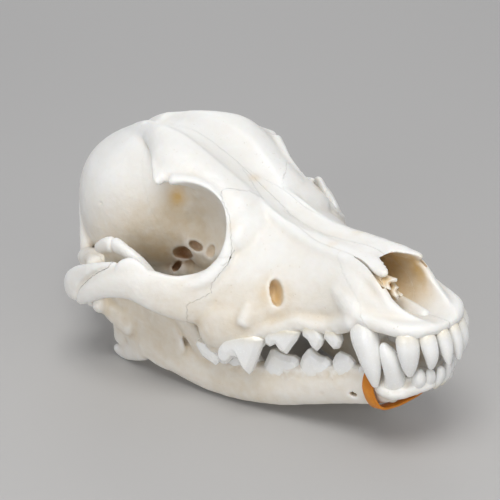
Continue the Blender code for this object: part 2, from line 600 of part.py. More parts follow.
def shells(thing):
    """The closed surfaces of an object, each as an object of its own, largest first."""
    mesh = bmesh.new()
    mesh.from_mesh(thing.data)
    parts = []
    for shell in closed_surfaces(mesh):
        part = bmesh.new()
        corners = {}
        for face in shell:
            for corner in face.verts:
                if corner not in corners:
                    corners[corner] = part.verts.new(corner.co)
            part.faces.new([corners[corner] for corner in face.verts])
        parts.append(solid("shell", part))
    mesh.free()
    bpy.data.objects.remove(thing, do_unlink=True)
    return parts


def block(name, centre, ahead, up, size):
    """A box about its centre, its length along one direction and its height near another."""
    ahead = Vector(ahead).normalized()
    across = Vector(up).cross(ahead).normalized()
    turn = Matrix((ahead, across, ahead.cross(across))).transposed().to_4x4()
    mesh = bmesh.new()
    bmesh.ops.create_cube(mesh, size=1.0)
    bmesh.ops.scale(mesh, vec=[MM * part for part in size], verts=mesh.verts)
    bmesh.ops.transform(mesh, matrix=Matrix.Translation(Vector(centre) * MM) @ turn, verts=mesh.verts)
    return solid(name, mesh)


def cross_seam(name, seam):
    """A thin gap right across the head, which leans as its seam does."""
    (top_x, top_z), (low_x, low_z), wide, past = seam
    down = Vector((low_x - top_x, 0, low_z - top_z))
    middle = ((top_x + low_x) / 2, 0, (top_z + low_z) / 2)
    return block(name, middle, down, (1, 0, 0), (down.length + past, wide, BONE_GAP))


def midline_seam():
    """A thin gap along the middle of the head, from the crown seam to the tip of the nose."""
    (top_x, top_z), (low_x, low_z), _, _ = CROWN_SEAM
    ahead = Vector((top_z - low_z, 0, low_x - top_x)).normalized()
    middle = Vector((top_x + low_x, 0, top_z + low_z)) / 2
    return block("midline_seam", middle + ahead * 70, ahead, (0, 0, 1), (140, BONE_GAP, 120))


def seams():
    """Thin gaps along the seams between the bones."""
    cuts = [
        cross_seam("nape_seam", NAPE_SEAM), cross_seam("crown_seam", CROWN_SEAM),
        cross_seam("face_seam", FACE_SEAM), cross_seam("nose_seam", NOSE_SEAM), midline_seam(),
    ]
    for side in SIDES.values():
        for name, (middle, ahead, up, (length, wide)) in SIDE_SEAMS.items():
            middle, ahead, up = ((x, y * side, z) for x, y, z in (middle, ahead, up))
            cuts.append(block(name, middle, ahead, up, (length, wide, BONE_GAP)))
    return cuts


def part_bones(skull):
    """Parts the skull along its seams and names each bone."""
    nose = skull.copy()
    nose.data = skull.data.copy()
    bpy.context.scene.collection.objects.link(nose)
    combine(nose, [nose_outline("nose_outline", 0)], "INTERSECT")
    combine(skull, [nose_outline("nose_room", BONE_GAP)] + seams(), "DIFFERENCE")
    combine(nose, [block("between", (120, 0, 30), (1, 0, 0), (0, 0, 1), (100, BONE_GAP, 60))], "DIFFERENCE")
    bones = {}
    for thing, places in ((nose, NOSE_BONES), (skull, SKULL_BONES)):
        parts = shells(thing)
        count = sum(2 if place[1] else 1 for place in places.values())
        for scrap in parts[count:]:
            bpy.data.objects.remove(scrap, do_unlink=True)
        parts = parts[:count]
        centres = [sum((vertex.co for vertex in part.data.vertices), Vector()) / len(part.data.vertices) / MM
                   for part in parts]
        for name, place in places.items():
            sides = SIDES.items() if place[1] else [("", 1.0)]
            for side_name, side in sides:
                aim = Vector((place[0], place[1] * side, place[2]))
                nearest = min(range(count), key=lambda number: (centres[number] - aim).length)
                bone = thin_out(parts[nearest], SHARE_KEPT)
                bone.name = name + "_" + side_name if side_name else name
                bones[bone.name] = bone
    return bones


def set_down(bones):
    """Turns the skull nose up and stands it at the origin on the lower jaw."""
    turn = Matrix.Rotation(-NOSE_UP, 4, "Y")
    points = np.array([turn @ vertex.co for bone in bones for vertex in bone.data.vertices])
    low, high = points.min(axis=0), points.max(axis=0)
    rest = Matrix.Translation((-(low[0] + high[0]) / 2, -(low[1] + high[1]) / 2, -low[2])) @ turn
    stand = bpy.data.objects.new("skull_pose", None)
    bpy.context.scene.collection.objects.link(stand)
    stand.matrix_world = rest
    for bone in bones:
        bone.parent = stand
    return rest


def build():
    """Models every bone and sets the skull down."""
    clear_scene()
    bones = part_bones(cranium())
    jaws = [lower_jaw(side_name) for side_name in SIDES]
    for jaw in jaws:
        bones[jaw.name] = jaw
    band = elastic_band(jaws)
    for name, bone in bones.items():
        bone.data.materials.clear()
        bone.data.materials.append(finish_material(name + "_surface", BONE, 0.55))
        bone.data.shade_smooth()
    band.data.materials.append(finish_material("rubber", RUBBER, 0.5))
    return set_down(list(bones.values()) + [band])


POSE = build()
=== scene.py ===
import math
import bpy
import numpy as np
from mathutils import Matrix, Vector
from mathutils.geometry import convex_hull_2d


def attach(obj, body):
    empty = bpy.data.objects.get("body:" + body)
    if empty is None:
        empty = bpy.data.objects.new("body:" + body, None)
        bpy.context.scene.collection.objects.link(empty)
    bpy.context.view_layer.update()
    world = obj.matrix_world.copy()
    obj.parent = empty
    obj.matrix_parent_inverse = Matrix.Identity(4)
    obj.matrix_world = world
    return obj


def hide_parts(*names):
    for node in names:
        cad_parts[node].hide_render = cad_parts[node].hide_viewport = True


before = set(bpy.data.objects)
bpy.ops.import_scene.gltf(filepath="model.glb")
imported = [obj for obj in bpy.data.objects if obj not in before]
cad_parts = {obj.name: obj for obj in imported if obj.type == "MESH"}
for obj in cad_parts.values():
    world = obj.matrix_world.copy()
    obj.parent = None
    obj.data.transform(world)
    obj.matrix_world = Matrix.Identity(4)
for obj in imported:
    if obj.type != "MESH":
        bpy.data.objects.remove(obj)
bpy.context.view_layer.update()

# The upper skull: one life-size head of bone, grown together and then parted at its sutures.
# Shapes are in millimetres in the skull's own frame: x runs forward from the rear of the head,
# y to the animal's left and z up. Every finished piece is then turned nose up on its stand.
MM = 0.001
SIDES = {"right": -1.0, "left": 1.0}
GRAIN = 0.48
NOSE_UP = math.radians(11.0)
STAND = Matrix.Translation((-0.0778321, 0.0, 0.0121713)) @ Matrix.Rotation(-NOSE_UP, 4, "Y")


def deselect():
    """Nothing is selected, so that the next operator acts on its own piece."""
    if bpy.context.mode != "OBJECT":
        bpy.ops.object.mode_set(mode="OBJECT")
    bpy.ops.object.select_all(action="DESELECT")


def make_active(thing):
    """Selects one object alone."""
    deselect()
    thing.select_set(True)
    bpy.context.view_layer.objects.active = thing


def apply_modifiers(thing):
    """Applies an object's modifiers in their order."""
    make_active(thing)
    for modifier in list(thing.modifiers):
        bpy.ops.object.modifier_apply(modifier=modifier.name)


def closed_mesh(name, corners, faces):
    """A closed form from its corners and faces, with every face turned outward."""
    data = bpy.data.meshes.new(name)
    data.from_pydata(corners, [], faces)
    thing = bpy.data.objects.new(name, data)
    bpy.context.scene.collection.objects.link(thing)
    make_active(thing)
    bpy.ops.object.mode_set(mode="EDIT")
    bpy.ops.mesh.select_all(action="SELECT")
    bpy.ops.mesh.normals_make_consistent(inside=False)
    bpy.ops.object.mode_set(mode="OBJECT")
    return thing


def sweep(name, rows, side=1.0, upright=False, square=2.2, up=(0, 0, 1), count=18, round_=24):
    """A closed limb with round ends along a smooth path.

    Each row holds x, y, z, half width, half height and perhaps a taper. An upright limb
    keeps its sections square to x, and another turns them with its path.
    """
    rows = np.array(rows, dtype=float)
    rows[:, 1] *= side
    if rows.shape[1] == 5:
        rows = np.column_stack([rows, np.zeros(len(rows))])
    gaps = np.linalg.norm(np.diff(rows[:, :3], axis=0), axis=1)
    along = np.concatenate([[0.0], np.cumsum(gaps)])
    cap = min(rows[0, 3:5].min(), rows[-1, 3:5].min(), 0.3 * along[-1])
    slopes = np.gradient(rows, along, axis=0)
    caps = cap * (1.0 - np.cos(np.radians([12.0, 26.0, 42.0, 58.0, 74.0])))
    places = np.concatenate([caps, np.linspace(cap, along[-1] - cap, count), along[-1] - caps[::-1]])
    step = np.clip(np.searchsorted(along, places, side="right") - 1, 0, len(gaps) - 1)
    span = gaps[step][:, None]
    t = (places - along[step])[:, None] / span
    values = ((2 * t**3 - 3 * t**2 + 1) * rows[step] + (t**3 - 2 * t**2 + t) * span * slopes[step]
              + (3 * t**2 - 2 * t**3) * rows[step + 1] + (t**3 - t**2) * span * slopes[step + 1])
    from_end = np.minimum(places, along[-1] - places)
    swell = np.sqrt(np.clip(1.0 - (1.0 - np.clip(from_end / cap, 0, 1)) ** 2, 0, 1))
    centres = values[:, :3]
    if upright:
        across = np.tile([0.0, 1.0, 0.0], (len(centres), 1))
        rise = np.tile([0.0, 0.0, 1.0], (len(centres), 1))
    else:
        ahead = np.gradient(centres, axis=0)
        ahead /= np.linalg.norm(ahead, axis=1)[:, None]
        across = np.cross(np.array(up, dtype=float), ahead)
        across /= np.linalg.norm(across, axis=1)[:, None]
        rise = np.cross(ahead, across)
    angle = math.tau * np.arange(round_) / round_
    wide = np.abs(np.cos(angle)) ** (2.0 / square) * np.sign(np.cos(angle))
    high = np.abs(np.sin(angle)) ** (2.0 / square) * np.sign(np.sin(angle))
    wide = (values[:, 3] * swell)[:, None] * wide * (1.0 + values[:, 5][:, None] * high)
    high = (values[:, 4] * swell)[:, None] * high
    points = centres[:, None] + across[:, None] * wide[..., None] + rise[:, None] * high[..., None]
    corners = np.vstack([points.reshape(-1, 3), rows[0, :3], rows[-1, :3]]) * MM
    turn = np.arange(round_)
    beside = (turn + 1) % round_
    faces = []
    for ring in range(len(centres) - 1):
        low, high_ring = ring * round_, (ring + 1) * round_
        faces += np.column_stack([low + turn, low + beside, high_ring + beside, high_ring + turn]).tolist()
    last = (len(centres) - 1) * round_
    tips = len(corners) - 2, len(corners) - 1
    faces += [(beside[k], turn[k], tips[0]) for k in range(round_)]
    faces += [(last + turn[k], last + beside[k], tips[1]) for k in range(round_)]
    return closed_mesh(name, corners.tolist(), [tuple(int(k) for k in face) for face in faces])


def swelling(name, centre, radii, side=1.0, yaw=0.0, pitch=0.0):
    """A rounded swelling, turned about y and then z."""
    deselect()
    place = (centre[0] * MM, centre[1] * side * MM, centre[2] * MM)
    bpy.ops.mesh.primitive_uv_sphere_add(
        segments=32, ring_count=16, radius=1.0, location=place, scale=[MM * radius for radius in radii],
        rotation=(0.0, math.radians(pitch), math.radians(yaw) * side))
    bump = bpy.context.object
    bump.name = name
    bpy.ops.object.transform_apply(location=True, rotation=True, scale=True)
    return bump


def combine(thing, others, operation):
    """Joins closed forms to a piece, or cuts them out of it."""
    group = bpy.data.collections.new("forms")
    for other in others:
        group.objects.link(other)
    work = thing.modifiers.new("work", "BOOLEAN")
    work.operation = operation
    work.operand_type = "COLLECTION"
    work.collection = group
    work.solver = "MANIFOLD"
    apply_modifiers(thing)
    for other in others:
        bpy.data.objects.remove(other, do_unlink=True)
    bpy.data.collections.remove(group)
    return thing


def grow(thing, grain, rounding):
    """Gives fused forms one even skin, and rounds their joins over so many millimetres."""
    skin = thing.modifiers.new("skin", "REMESH")
    skin.mode = "VOXEL"
    skin.voxel_size = grain * MM
    ease = thing.modifiers.new("ease", "SMOOTH")
    ease.factor = 0.5
    ease.iterations = max(1, round(2.0 * (rounding / grain) ** 2))
    apply_modifiers(thing)


CASE = [
    (2.5, 0, 26.5, 11, 15.4, -0.04), (7, 0, 28.5, 15.7, 19, -0.04), (13, 0, 30.7, 20.4, 21.7, -0.04),
    (22, 0, 32.8, 24.8, 23.9, -0.02), (32, 0, 34, 26.4, 24.7, 0), (42, 0, 34.6, 25, 25.2, 0),
    (50, 0, 34.2, 21.6, 24.6, 0.03), (58, 0, 33.5, 17.4, 23.5, 0.05), (66, 0, 32, 14.5, 21, 0),
]
ORBIT_WALL = [
    (50, 0, 30, 19, 20), (58, 0, 28, 15.5, 20), (66, 0, 26, 13, 21), (74, 0, 24, 12.4, 22),
    (82, 0, 21, 13.6, 22), (90, 0, 18, 17, 20), (98, 0, 16, 20, 17),
]
braincase = [
    sweep("case", CASE, upright=True, square=2.25, count=36, round_=48),
    sweep("base", [
        (-1, 0, 9, 6, 3.5), (20, 0, 8.5, 8, 4), (32, 0, 9, 11, 4.6), (44, 0, 10, 13.4, 5.6),
        (58, 0, 12, 12.4, 7),
    ], upright=True),
    sweep("nape_crest", [
        (13.6, -23.2, 12, 2.2, 3), (11.4, -19, 25, 2, 2.4), (6, -12, 36, 1.9, 2.2),
        (1.5, 0, 42.5, 2.4, 2.6), (6, 12, 36, 1.9, 2.2), (11.4, 19, 25, 2, 2.4), (13.6, 23.2, 12, 2.2, 3),
    ], up=(1, 0, 0), count=40),
    sweep("midline_ridge", [(2, 0, 42.5, 1.8, 2), (9, 0, 49.4, 1.6, 1.8), (22, 0, 55.6, 1.4, 1.4)]),
    sweep("brow", [
        (34, 0, 50, 6, 8.4), (42, 0, 50, 9, 9), (50, 0, 50.2, 13, 9), (57, 0, 50.4, 17, 9),
        (64, 0, 50.2, 21, 8.6), (70, 0, 49.4, 23.2, 7.6), (77, 0, 47, 21.2, 7.2), (84, 0, 42.6, 18.4, 7.4),
        (90, 0, 36.4, 18.6, 8.4), (96, 0, 30, 21, 8.4), (103, 0, 26, 20.4, 7),
    ], upright=True, count=30, round_=48),
    sweep("orbit_wall", ORBIT_WALL, upright=True, count=26, round_=40),
    sweep("muzzle", [
        (76, 0, 2, 18, 7, 0), (81, 0, 4, 24, 10, -0.05), (86, 0, 7.5, 27.6, 13.5, -0.1),
        (93, 0, 14, 28.6, 18, -0.26), (100, 0, 15, 26.4, 17.2, -0.3), (108, 0, 14, 23, 15.2, -0.3),
        (116, 0, 13.6, 19.8, 13.2, -0.28), (124, 0, 13.6, 17, 12.2, -0.24),
        (132, 0, 13.6, 15.4, 11.5, -0.2), (140, 0, 13.2, 14.8, 10.8, -0.18), (148, 0, 10.4, 13, 8.2, -0.16),
        (154, 0, 7, 11, 5.8, -0.1), (159, 0, 4.8, 8.4, 4.2, 0), (162.4, 0, 3.6, 5, 2.8, 0),
    ], upright=True, square=2.5, count=48, round_=56),
]
for side in SIDES.values():
    braincase += [
        swelling("condyle", (1.4, 8.6, 11.6), (5.4, 5, 7.4), side, yaw=-25),
        sweep("beside_ear", [
            (9, 18.5, 13, 4, 3), (7, 19.5, 4, 3, 2.4), (6, 19.5, -3.5, 1.8, 1.6),
        ], side, up=(1, 0, 0)),
        sweep("nape_wing", [(4.5, 8, 15, 3.4, 5.5), (6.5, 14, 14, 3.2, 5), (8.6, 19, 12.5, 2.8, 4)], side),
        swelling("ear_capsule", (21.6, 14.5, 4.5), (8.8, 7.6, 7.6), side, yaw=18),
        swelling("ear_rim", (18.2, 23.4, 11), (6.4, 4.3, 6.5), side),
        sweep("jaw_socket", [
            (30, 22, 15, 11, 5.5), (30.5, 30, 13, 8.5, 4), (32.5, 38, 13.2, 6, 4.2),
            (36.5, 43.5, 15.2, 3.8, 5.4), (45, 45.3, 18.8, 2.4, 5.3), (56, 45.4, 22, 2, 4.4),
            (66, 43.6, 24.3, 1.8, 3),
        ], side, count=30),
        sweep("socket_lip", [(24.5, 26, 6, 1.8, 5), (24.5, 34, 5.5, 1.8, 5)], side),
        sweep("ear_crest", [
            (11, 22, 14.5, 3, 3), (18, 24.4, 16.4, 3.4, 3.2), (26, 27, 17.4, 3.6, 3.2), (33, 31, 17, 4, 3),
        ], side),
        sweep("brow_dome", [
            (28, 4, 49.4, 5, 8.4), (38, 4.4, 50.8, 6, 10.3), (47, 5.6, 51, 7.2, 10.7), (56, 8, 51, 9, 10.5),
            (64, 10.4, 50, 10.8, 10), (72, 10.8, 47.8, 10.4, 9.6), (80, 10.2, 43.6, 9.2, 9),
            (88, 9.2, 38, 8.2, 8), (98, 8.4, 31, 7.2, 7),
        ], side, upright=True, count=26),
        sweep("brow_corner", [
            (58, 13, 51, 5.5, 4.6), (64, 18, 51, 5, 3.8), (68, 22, 50, 3.6, 2.4),
            (71.2, 26.6, 47.8, 1.5, 1.4),
        ], side),
        sweep("orbit_rim", [
            (74, 23.4, 48.4, 2, 2), (80, 19.3, 47.2, 2, 2), (86, 16.6, 43.2, 2.2, 2.2),
            (91, 17.2, 36.4, 2.4, 2.4), (94.2, 20, 29, 2.8, 2.8), (94.6, 23, 23.4, 3, 3),
            (92.4, 26.6, 19.8, 3, 3.4), (88.4, 30.4, 18, 2.8, 3.4), (84, 34, 17.6, 2.6, 3),
        ], side, up=(0, 1, 0)),
        sweep("cheek_bar", [
            (99, 20, 13, 5.4, 7.6), (92.4, 25.4, 12.8, 4.4, 8.8), (85.5, 32.4, 13, 3.6, 8.6),
            (78, 38.4, 16.2, 2.9, 7.4), (69, 43.6, 19.6, 2.5, 5.5), (58, 46.4, 18.2, 2.3, 3.8),
            (48, 47, 14.6, 2.2, 3), (40, 45.8, 11.6, 1.9, 2.1),
        ], side, count=34),
        sweep("cheek_corner", [
            (71.6, 42.2, 18, 1.9, 6.6), (70, 42.7, 23.6, 1.8, 6.2), (68.8, 42.7, 28.4, 1.2, 3.2),
        ], side, up=(0.87, -0.5 * side, 0)),
        sweep("nose_roof", [
            (76, 1.6, 43.4, 2.4, 2.4), (84, 2, 41.4, 3, 3), (92, 3.1, 37.6, 3, 3), (100, 4.2, 33.2, 3.2, 3),
            (108, 4.3, 28.9, 3.4, 3), (116, 4.6, 25.7, 3.8, 2.8), (126, 4.9, 23.9, 4.2, 2.4),
            (136, 5, 22.7, 4.3, 2), (144, 5.8, 21.5, 3.3, 1.7), (151, 7.4, 19.7, 1.7, 1.3),
        ], side, count=30),
        sweep("nose_rim", [
            (159.4, 3, 4.8, 2.1, 1.8), (156.4, 7, 6.4, 1.9, 1.9), (151.8, 9.1, 10.6, 1.7, 1.8),
            (147.6, 9, 16.6, 1.8, 1.8), (141, 8.5, 20, 1.9, 1.9), (132, 8, 21.6, 1.8, 1.8),
            (124, 7.6, 21.6, 1.6, 1.6),
        ], side, up=(0, 1, 0)),
        sweep("canine_root", [
            (145, 13.6, 6.4, 4, 3.4), (141, 13.2, 9, 4.2, 4.8), (136, 12, 12.4, 4, 4.8),
            (129, 10, 15.6, 3.8, 4), (121, 9, 16, 2.6, 2.6),
        ], side),
        sweep("carnassial_root", [
            (103, 25.4, 2, 6.4, 3.6), (104, 22.4, 8, 5.4, 3.4), (104, 17.6, 13, 4, 2.8),
        ], side, up=(1, 0, 0)),
        sweep("tooth_ridge", [
            (76, 20, -2, 3.6, 2.6), (82, 25.2, -2.8, 3.9, 3.2), (86.6, 27, -4.2, 4, 3.4),
            (91, 27.2, -3, 4, 3.4), (96, 26.8, -1.1, 3.9, 3.3), (101, 25.4, 0.1, 3.7, 3.3),
            (107, 23, 2.3, 3.4, 3.2), (113, 20.8, 2.7, 3.2, 3.1), (119, 18.6, 4.6, 3, 3.1),
            (124, 17, 4, 3, 2.8), (131, 15.2, 3.6, 2.9, 2.7), (137, 14.6, 5.6, 3.4, 3),
            (143, 14.2, 8, 4.3, 3.4),
        ], side, count=40),
        sweep("incisor_ridge", [
            (143, 13.8, 8.6, 4, 2.8), (148, 13, 6.8, 3.1, 2.8), (153, 12, 5.6, 3, 2.6),
            (157, 10.3, 4.6, 3.3, 2.5), (160.6, 6.9, 3.9, 3.1, 2.3), (162.4, 2.6, 3.5, 2.9, 2.2),
            (162.6, -1, 3.5, 2.9, 2.2),
        ], side, count=26),
        sweep("cheek_root", [
            (112, 18.6, 9, 3, 5), (105, 22.8, 6, 4, 6), (98, 26.4, 4, 4.4, 7.4), (91, 28.8, 3, 4.2, 8),
            (84, 29.8, 3, 3.4, 7.4),
        ], side, count=16),
        sweep("molar_ridge", [(90, 25.6, 3, 3.6, 6), (82, 24.4, 2, 3.2, 5), (76.5, 22, 1.4, 2.8, 4)], side),
        sweep("palate_wing", [
            (84, 11, 2, 2.4, 7), (74, 10, 4, 2.2, 8), (62, 9, 6, 1.8, 7), (52, 8.4, 6.5, 1.3, 5),
        ], side),
    ]
hollows = [
    sweep("brain_opening", [
        (-14, 0, 16, 7.2, 6.4), (0, 0, 17, 7.2, 6.4), (8, 0, 20, 9, 8), (26, 0, 28, 14, 12),
    ], upright=True),
    sweep("rear_passage", [
        (44, 0, 0.5, 6.4, 4.6), (60, 0, 2, 6.4, 4.6), (76, 0, 4, 6.2, 4.6), (90, 0, 6, 5.4, 4),
    ], upright=True),
    sweep("palate_vault", [
        (62, 0, -8.5, 9, 4), (76, 0, -8, 13, 5), (90, 0, -6.4, 16.5, 6), (104, 0, -4.6, 14, 6),
        (120, 0, -2.4, 10.5, 5.4), (136, 0, -0.6, 9.5, 5), (150, 0, -0.6, 8.6, 4.6), (158, 0, -2, 6, 4),
    ], upright=True, square=2.6, round_=40),
    sweep("brow_valley", [
        (40, 0, 69.4, 9, 10), (50, 0, 69, 9.5, 10), (59, 0, 68.4, 10, 10.4), (66.5, 0, 66.4, 10.5, 10.8),
        (73.4, 0, 63, 10.5, 10.8), (80, 0, 59, 10.5, 10.6), (88.8, 0, 52.6, 9.6, 10.3),
        (96, 0, 46.4, 8.6, 9.5), (104, 0, 39.6, 7.6, 8), (112, 0, 34.4, 6.4, 6), (122, 0, 30.6, 5, 4),
    ], upright=True, count=34, round_=40),
]
for side in SIDES.values():
    hollows += [
        sweep("ear_hole", [(13, 34, 3.5, 2.6, 2.6), (16, 22, 5, 2.6, 2.6), (19, 16, 6, 3, 3)], side),
        sweep("condyle_room", [
            (31.5, 20, 3.4, 4.6, 4.6), (33, 30, 4, 4.6, 4.6), (34.5, 42, 4.8, 4.4, 4.4),
        ], side),
        swelling("cheek_dish", (119, 24.6, 15.6), (10, 5.4, 5.6), side, yaw=-15),
    ]
skull = combine(braincase[0], braincase[1:], "UNION")
combine(skull, hollows, "DIFFERENCE")
SOFT_JOIN = 1.3
grow(skull, GRAIN, SOFT_JOIN)


# The openings with thin sharp edges: the orbits, the hollows of the temples behind them, the
# nose passage, and the foramina, the ways of nerves and vessels through the bone.
openings = [
    sweep("nose_passage", [
        (172, 0, 11.8, 9.4, 8.6), (163, 0, 13.2, 9, 8.6), (157, 0, 14, 8.6, 8.7), (146, 0, 14.5, 8, 8.3),
        (134, 0, 13.8, 7.4, 7.8), (120, 0, 13.6, 6.6, 7.6), (106, 0, 14, 5.4, 6.4),
    ], upright=True, square=2.4, round_=32),
]
for side in SIDES.values():
    temple = sweep("temple", [
        (34, 31, 50, 8, 10), (40, 26, 50.6, 9.6, 12), (45, 20, 50.2, 10.6, 13), (52, 22, 48, 11, 13),
        (57, 24.8, 47, 11, 13), (60, 26.4, 45.8, 11, 13), (66, 30.8, 42.2, 11, 12.6),
        (71, 34.6, 39.6, 11, 12), (78, 34, 38, 11, 11),
    ], side, upright=True, count=30, round_=48)
    below_brow = sweep("below_brow", [
        (50, 25, 36, 6, 7), (56, 21.4, 38.4, 7, 8), (62, 19.6, 39.8, 8, 8), (68, 20.2, 40, 8.6, 7.8),
        (74, 22.4, 39.6, 9, 7.6), (80, 26, 38, 9, 7),
    ], side, upright=True, count=24, round_=32)
    combine(temple, [below_brow], "UNION")
    combine(temple, [sweep("spared_case", CASE, upright=True, square=2.25, count=36, round_=48),
                     sweep("spared_wall", ORBIT_WALL, upright=True, count=26, round_=40)], "DIFFERENCE")
    openings += [
        sweep("orbit", [
            (94, 56, 50, 16, 15.5), (87, 40, 41, 16, 15.5), (82.4, 29.5, 35.2, 15.6, 15),
            (78, 23.6, 31.4, 14, 14), (70, 21, 28, 12, 13), (60, 24, 26, 9, 14),
        ], side, count=28, round_=44),
        temple,
        sweep("cheek_canal", [
            (132, 27, 17, 1.8, 4.4), (116, 21.4, 14.8, 1.8, 4.4), (111.4, 19.4, 13.4, 1.6, 4),
            (108.6, 18.2, 12.4, 1.2, 2.6),
        ], side, up=(0.35, 0, 1)),
        sweep("arch_groove", [
            (35, 46, 2, 0.9, 0.9), (38.4, 47.2, 6.8, 0.9, 0.9), (42.3, 48.2, 13.2, 0.9, 0.9),
            (45.5, 48, 17.2, 0.9, 0.9), (50.3, 47.5, 20.4, 0.9, 0.8), (56.9, 47, 23.6, 0.8, 0.7),
            (62, 46.2, 25.6, 0.6, 0.6),
        ], side, up=(0, 1, 0)),
    ]
combine(skull, openings, "DIFFERENCE")
SHARP_EDGE = 0.5
grow(skull, GRAIN, SHARP_EDGE)


def corners_of(thing, kind="co"):
    """The corners of a piece, or their normals, as rows."""
    values = np.empty(len(thing.data.vertices) * 3)
    thing.data.vertices.foreach_get(kind, values)
    return values.reshape(-1, 3)


def mark_region(thing, name, spots):
    """A vertex group that fades out from the middle of each egg-shaped region, on both sides."""
    group = thing.vertex_groups.new(name=name)
    points = corners_of(thing) / MM
    points[:, 1] = np.abs(points[:, 1])
    share = np.zeros(len(points))
    for centre, radii in spots:
        share = np.maximum(share, 1.0 - np.linalg.norm((points - centre) / radii, axis=1))
    share = np.round(np.clip(share * 3.0, 0, 1), 1)
    for level in np.unique(share[share > 0]):
        group.add(np.flatnonzero(share == level).tolist(), float(level), "REPLACE")


ORBIT_EASE = 3.2
ORBIT_INSIDE = [((59, 18, 30), (18, 14, 18)), ((72, 13, 30), (13, 9, 13))]
mark_region(skull, "orbit_inside", ORBIT_INSIDE)
ease = skull.modifiers.new("ease", "SMOOTH")
ease.vertex_group = "orbit_inside"
ease.factor = 0.5
ease.iterations = round(2.0 * (ORBIT_EASE / GRAIN) ** 2)
apply_modifiers(skull)
openings = []
INTO_HEAD = np.array((-0.759, -0.582, -0.292))
PITS = [
    ("optic", (58.2, 12.9, 18), 4.6, 3.7, 2.5, 0.12),
    ("orbital_fissure", (65.2, 12.2, 21.3), 4, 2.7, 1.5, 0.75),
    ("ethmoid", (70.6, 11.4, 19.3), 1.2, 2.7, 1.9, -0.5),
    ("rotund", (52.6, 12.8, 12.6), 4.4, 2.5, 1.4, -0.8),
    ("rotund_dot", (50, 13.4, 13.8), 3, 0.5, 0.4, 0),
    ("brow_dot", (60.2, 13.8, 38.6), 2, 0.5, 0.4, 0),
    ("brow_dot_2", (57.4, 15.6, 40.2), 2, 0.6, 0.4, 0),
    ("face_dot", (95.8, 11.8, 38.7), 2, 0.4, 0.4, 0),
    ("case_dot", (35.8, 25.8, 38.3), 2, 0.5, 0.5, 0),
]
for side in SIDES.values():
    for name, mouth, deep, wide, high, tilt in PITS:
        mouth = np.array(mouth)
        rows = [(*(mouth - 4 * INTO_HEAD), wide, high), (*mouth, wide, high),
                (*(mouth + deep * INTO_HEAD), 0.75 * wide, 0.75 * high)]
        openings.append(sweep(name, rows, side, up=(0.6 * tilt, -0.8 * tilt * side, 1), count=8, round_=20))
combine(skull, openings, "DIFFERENCE")
PIT_EDGE = 0.45
grow(skull, GRAIN, PIT_EDGE)


def roughen(thing, regions):
    """Gives smooth bone the slight unevenness of the real thing, and more along the tooth sockets."""
    mark_region(thing, "sockets", regions)
    for name, size, depth, group in (("swell", 0.009, 0.45, ""), ("uneven", 0.0035, 0.16, ""),
                                     ("beads", 0.0022, 0.8, "sockets")):
        clouds = bpy.data.textures.new(name, "CLOUDS")
        clouds.noise_scale = size
        push = thing.modifiers.new(name, "DISPLACE")
        push.texture = clouds
        push.texture_coords = "LOCAL"
        push.strength = depth * MM
        push.mid_level = 0.5
        push.vertex_group = group
    apply_modifiers(thing)


UPPER_SOCKETS = [
    ((88, 28, -6), (12, 6, 4)), ((104, 25, -2), (12, 6, 4)), ((119, 19.5, 1), (12, 5, 3.6)),
    ((133, 17, 1.6), (8, 4, 3.4)), ((158, 10, 1.6), (10, 10, 3)),
]
roughen(skull, UPPER_SOCKETS)


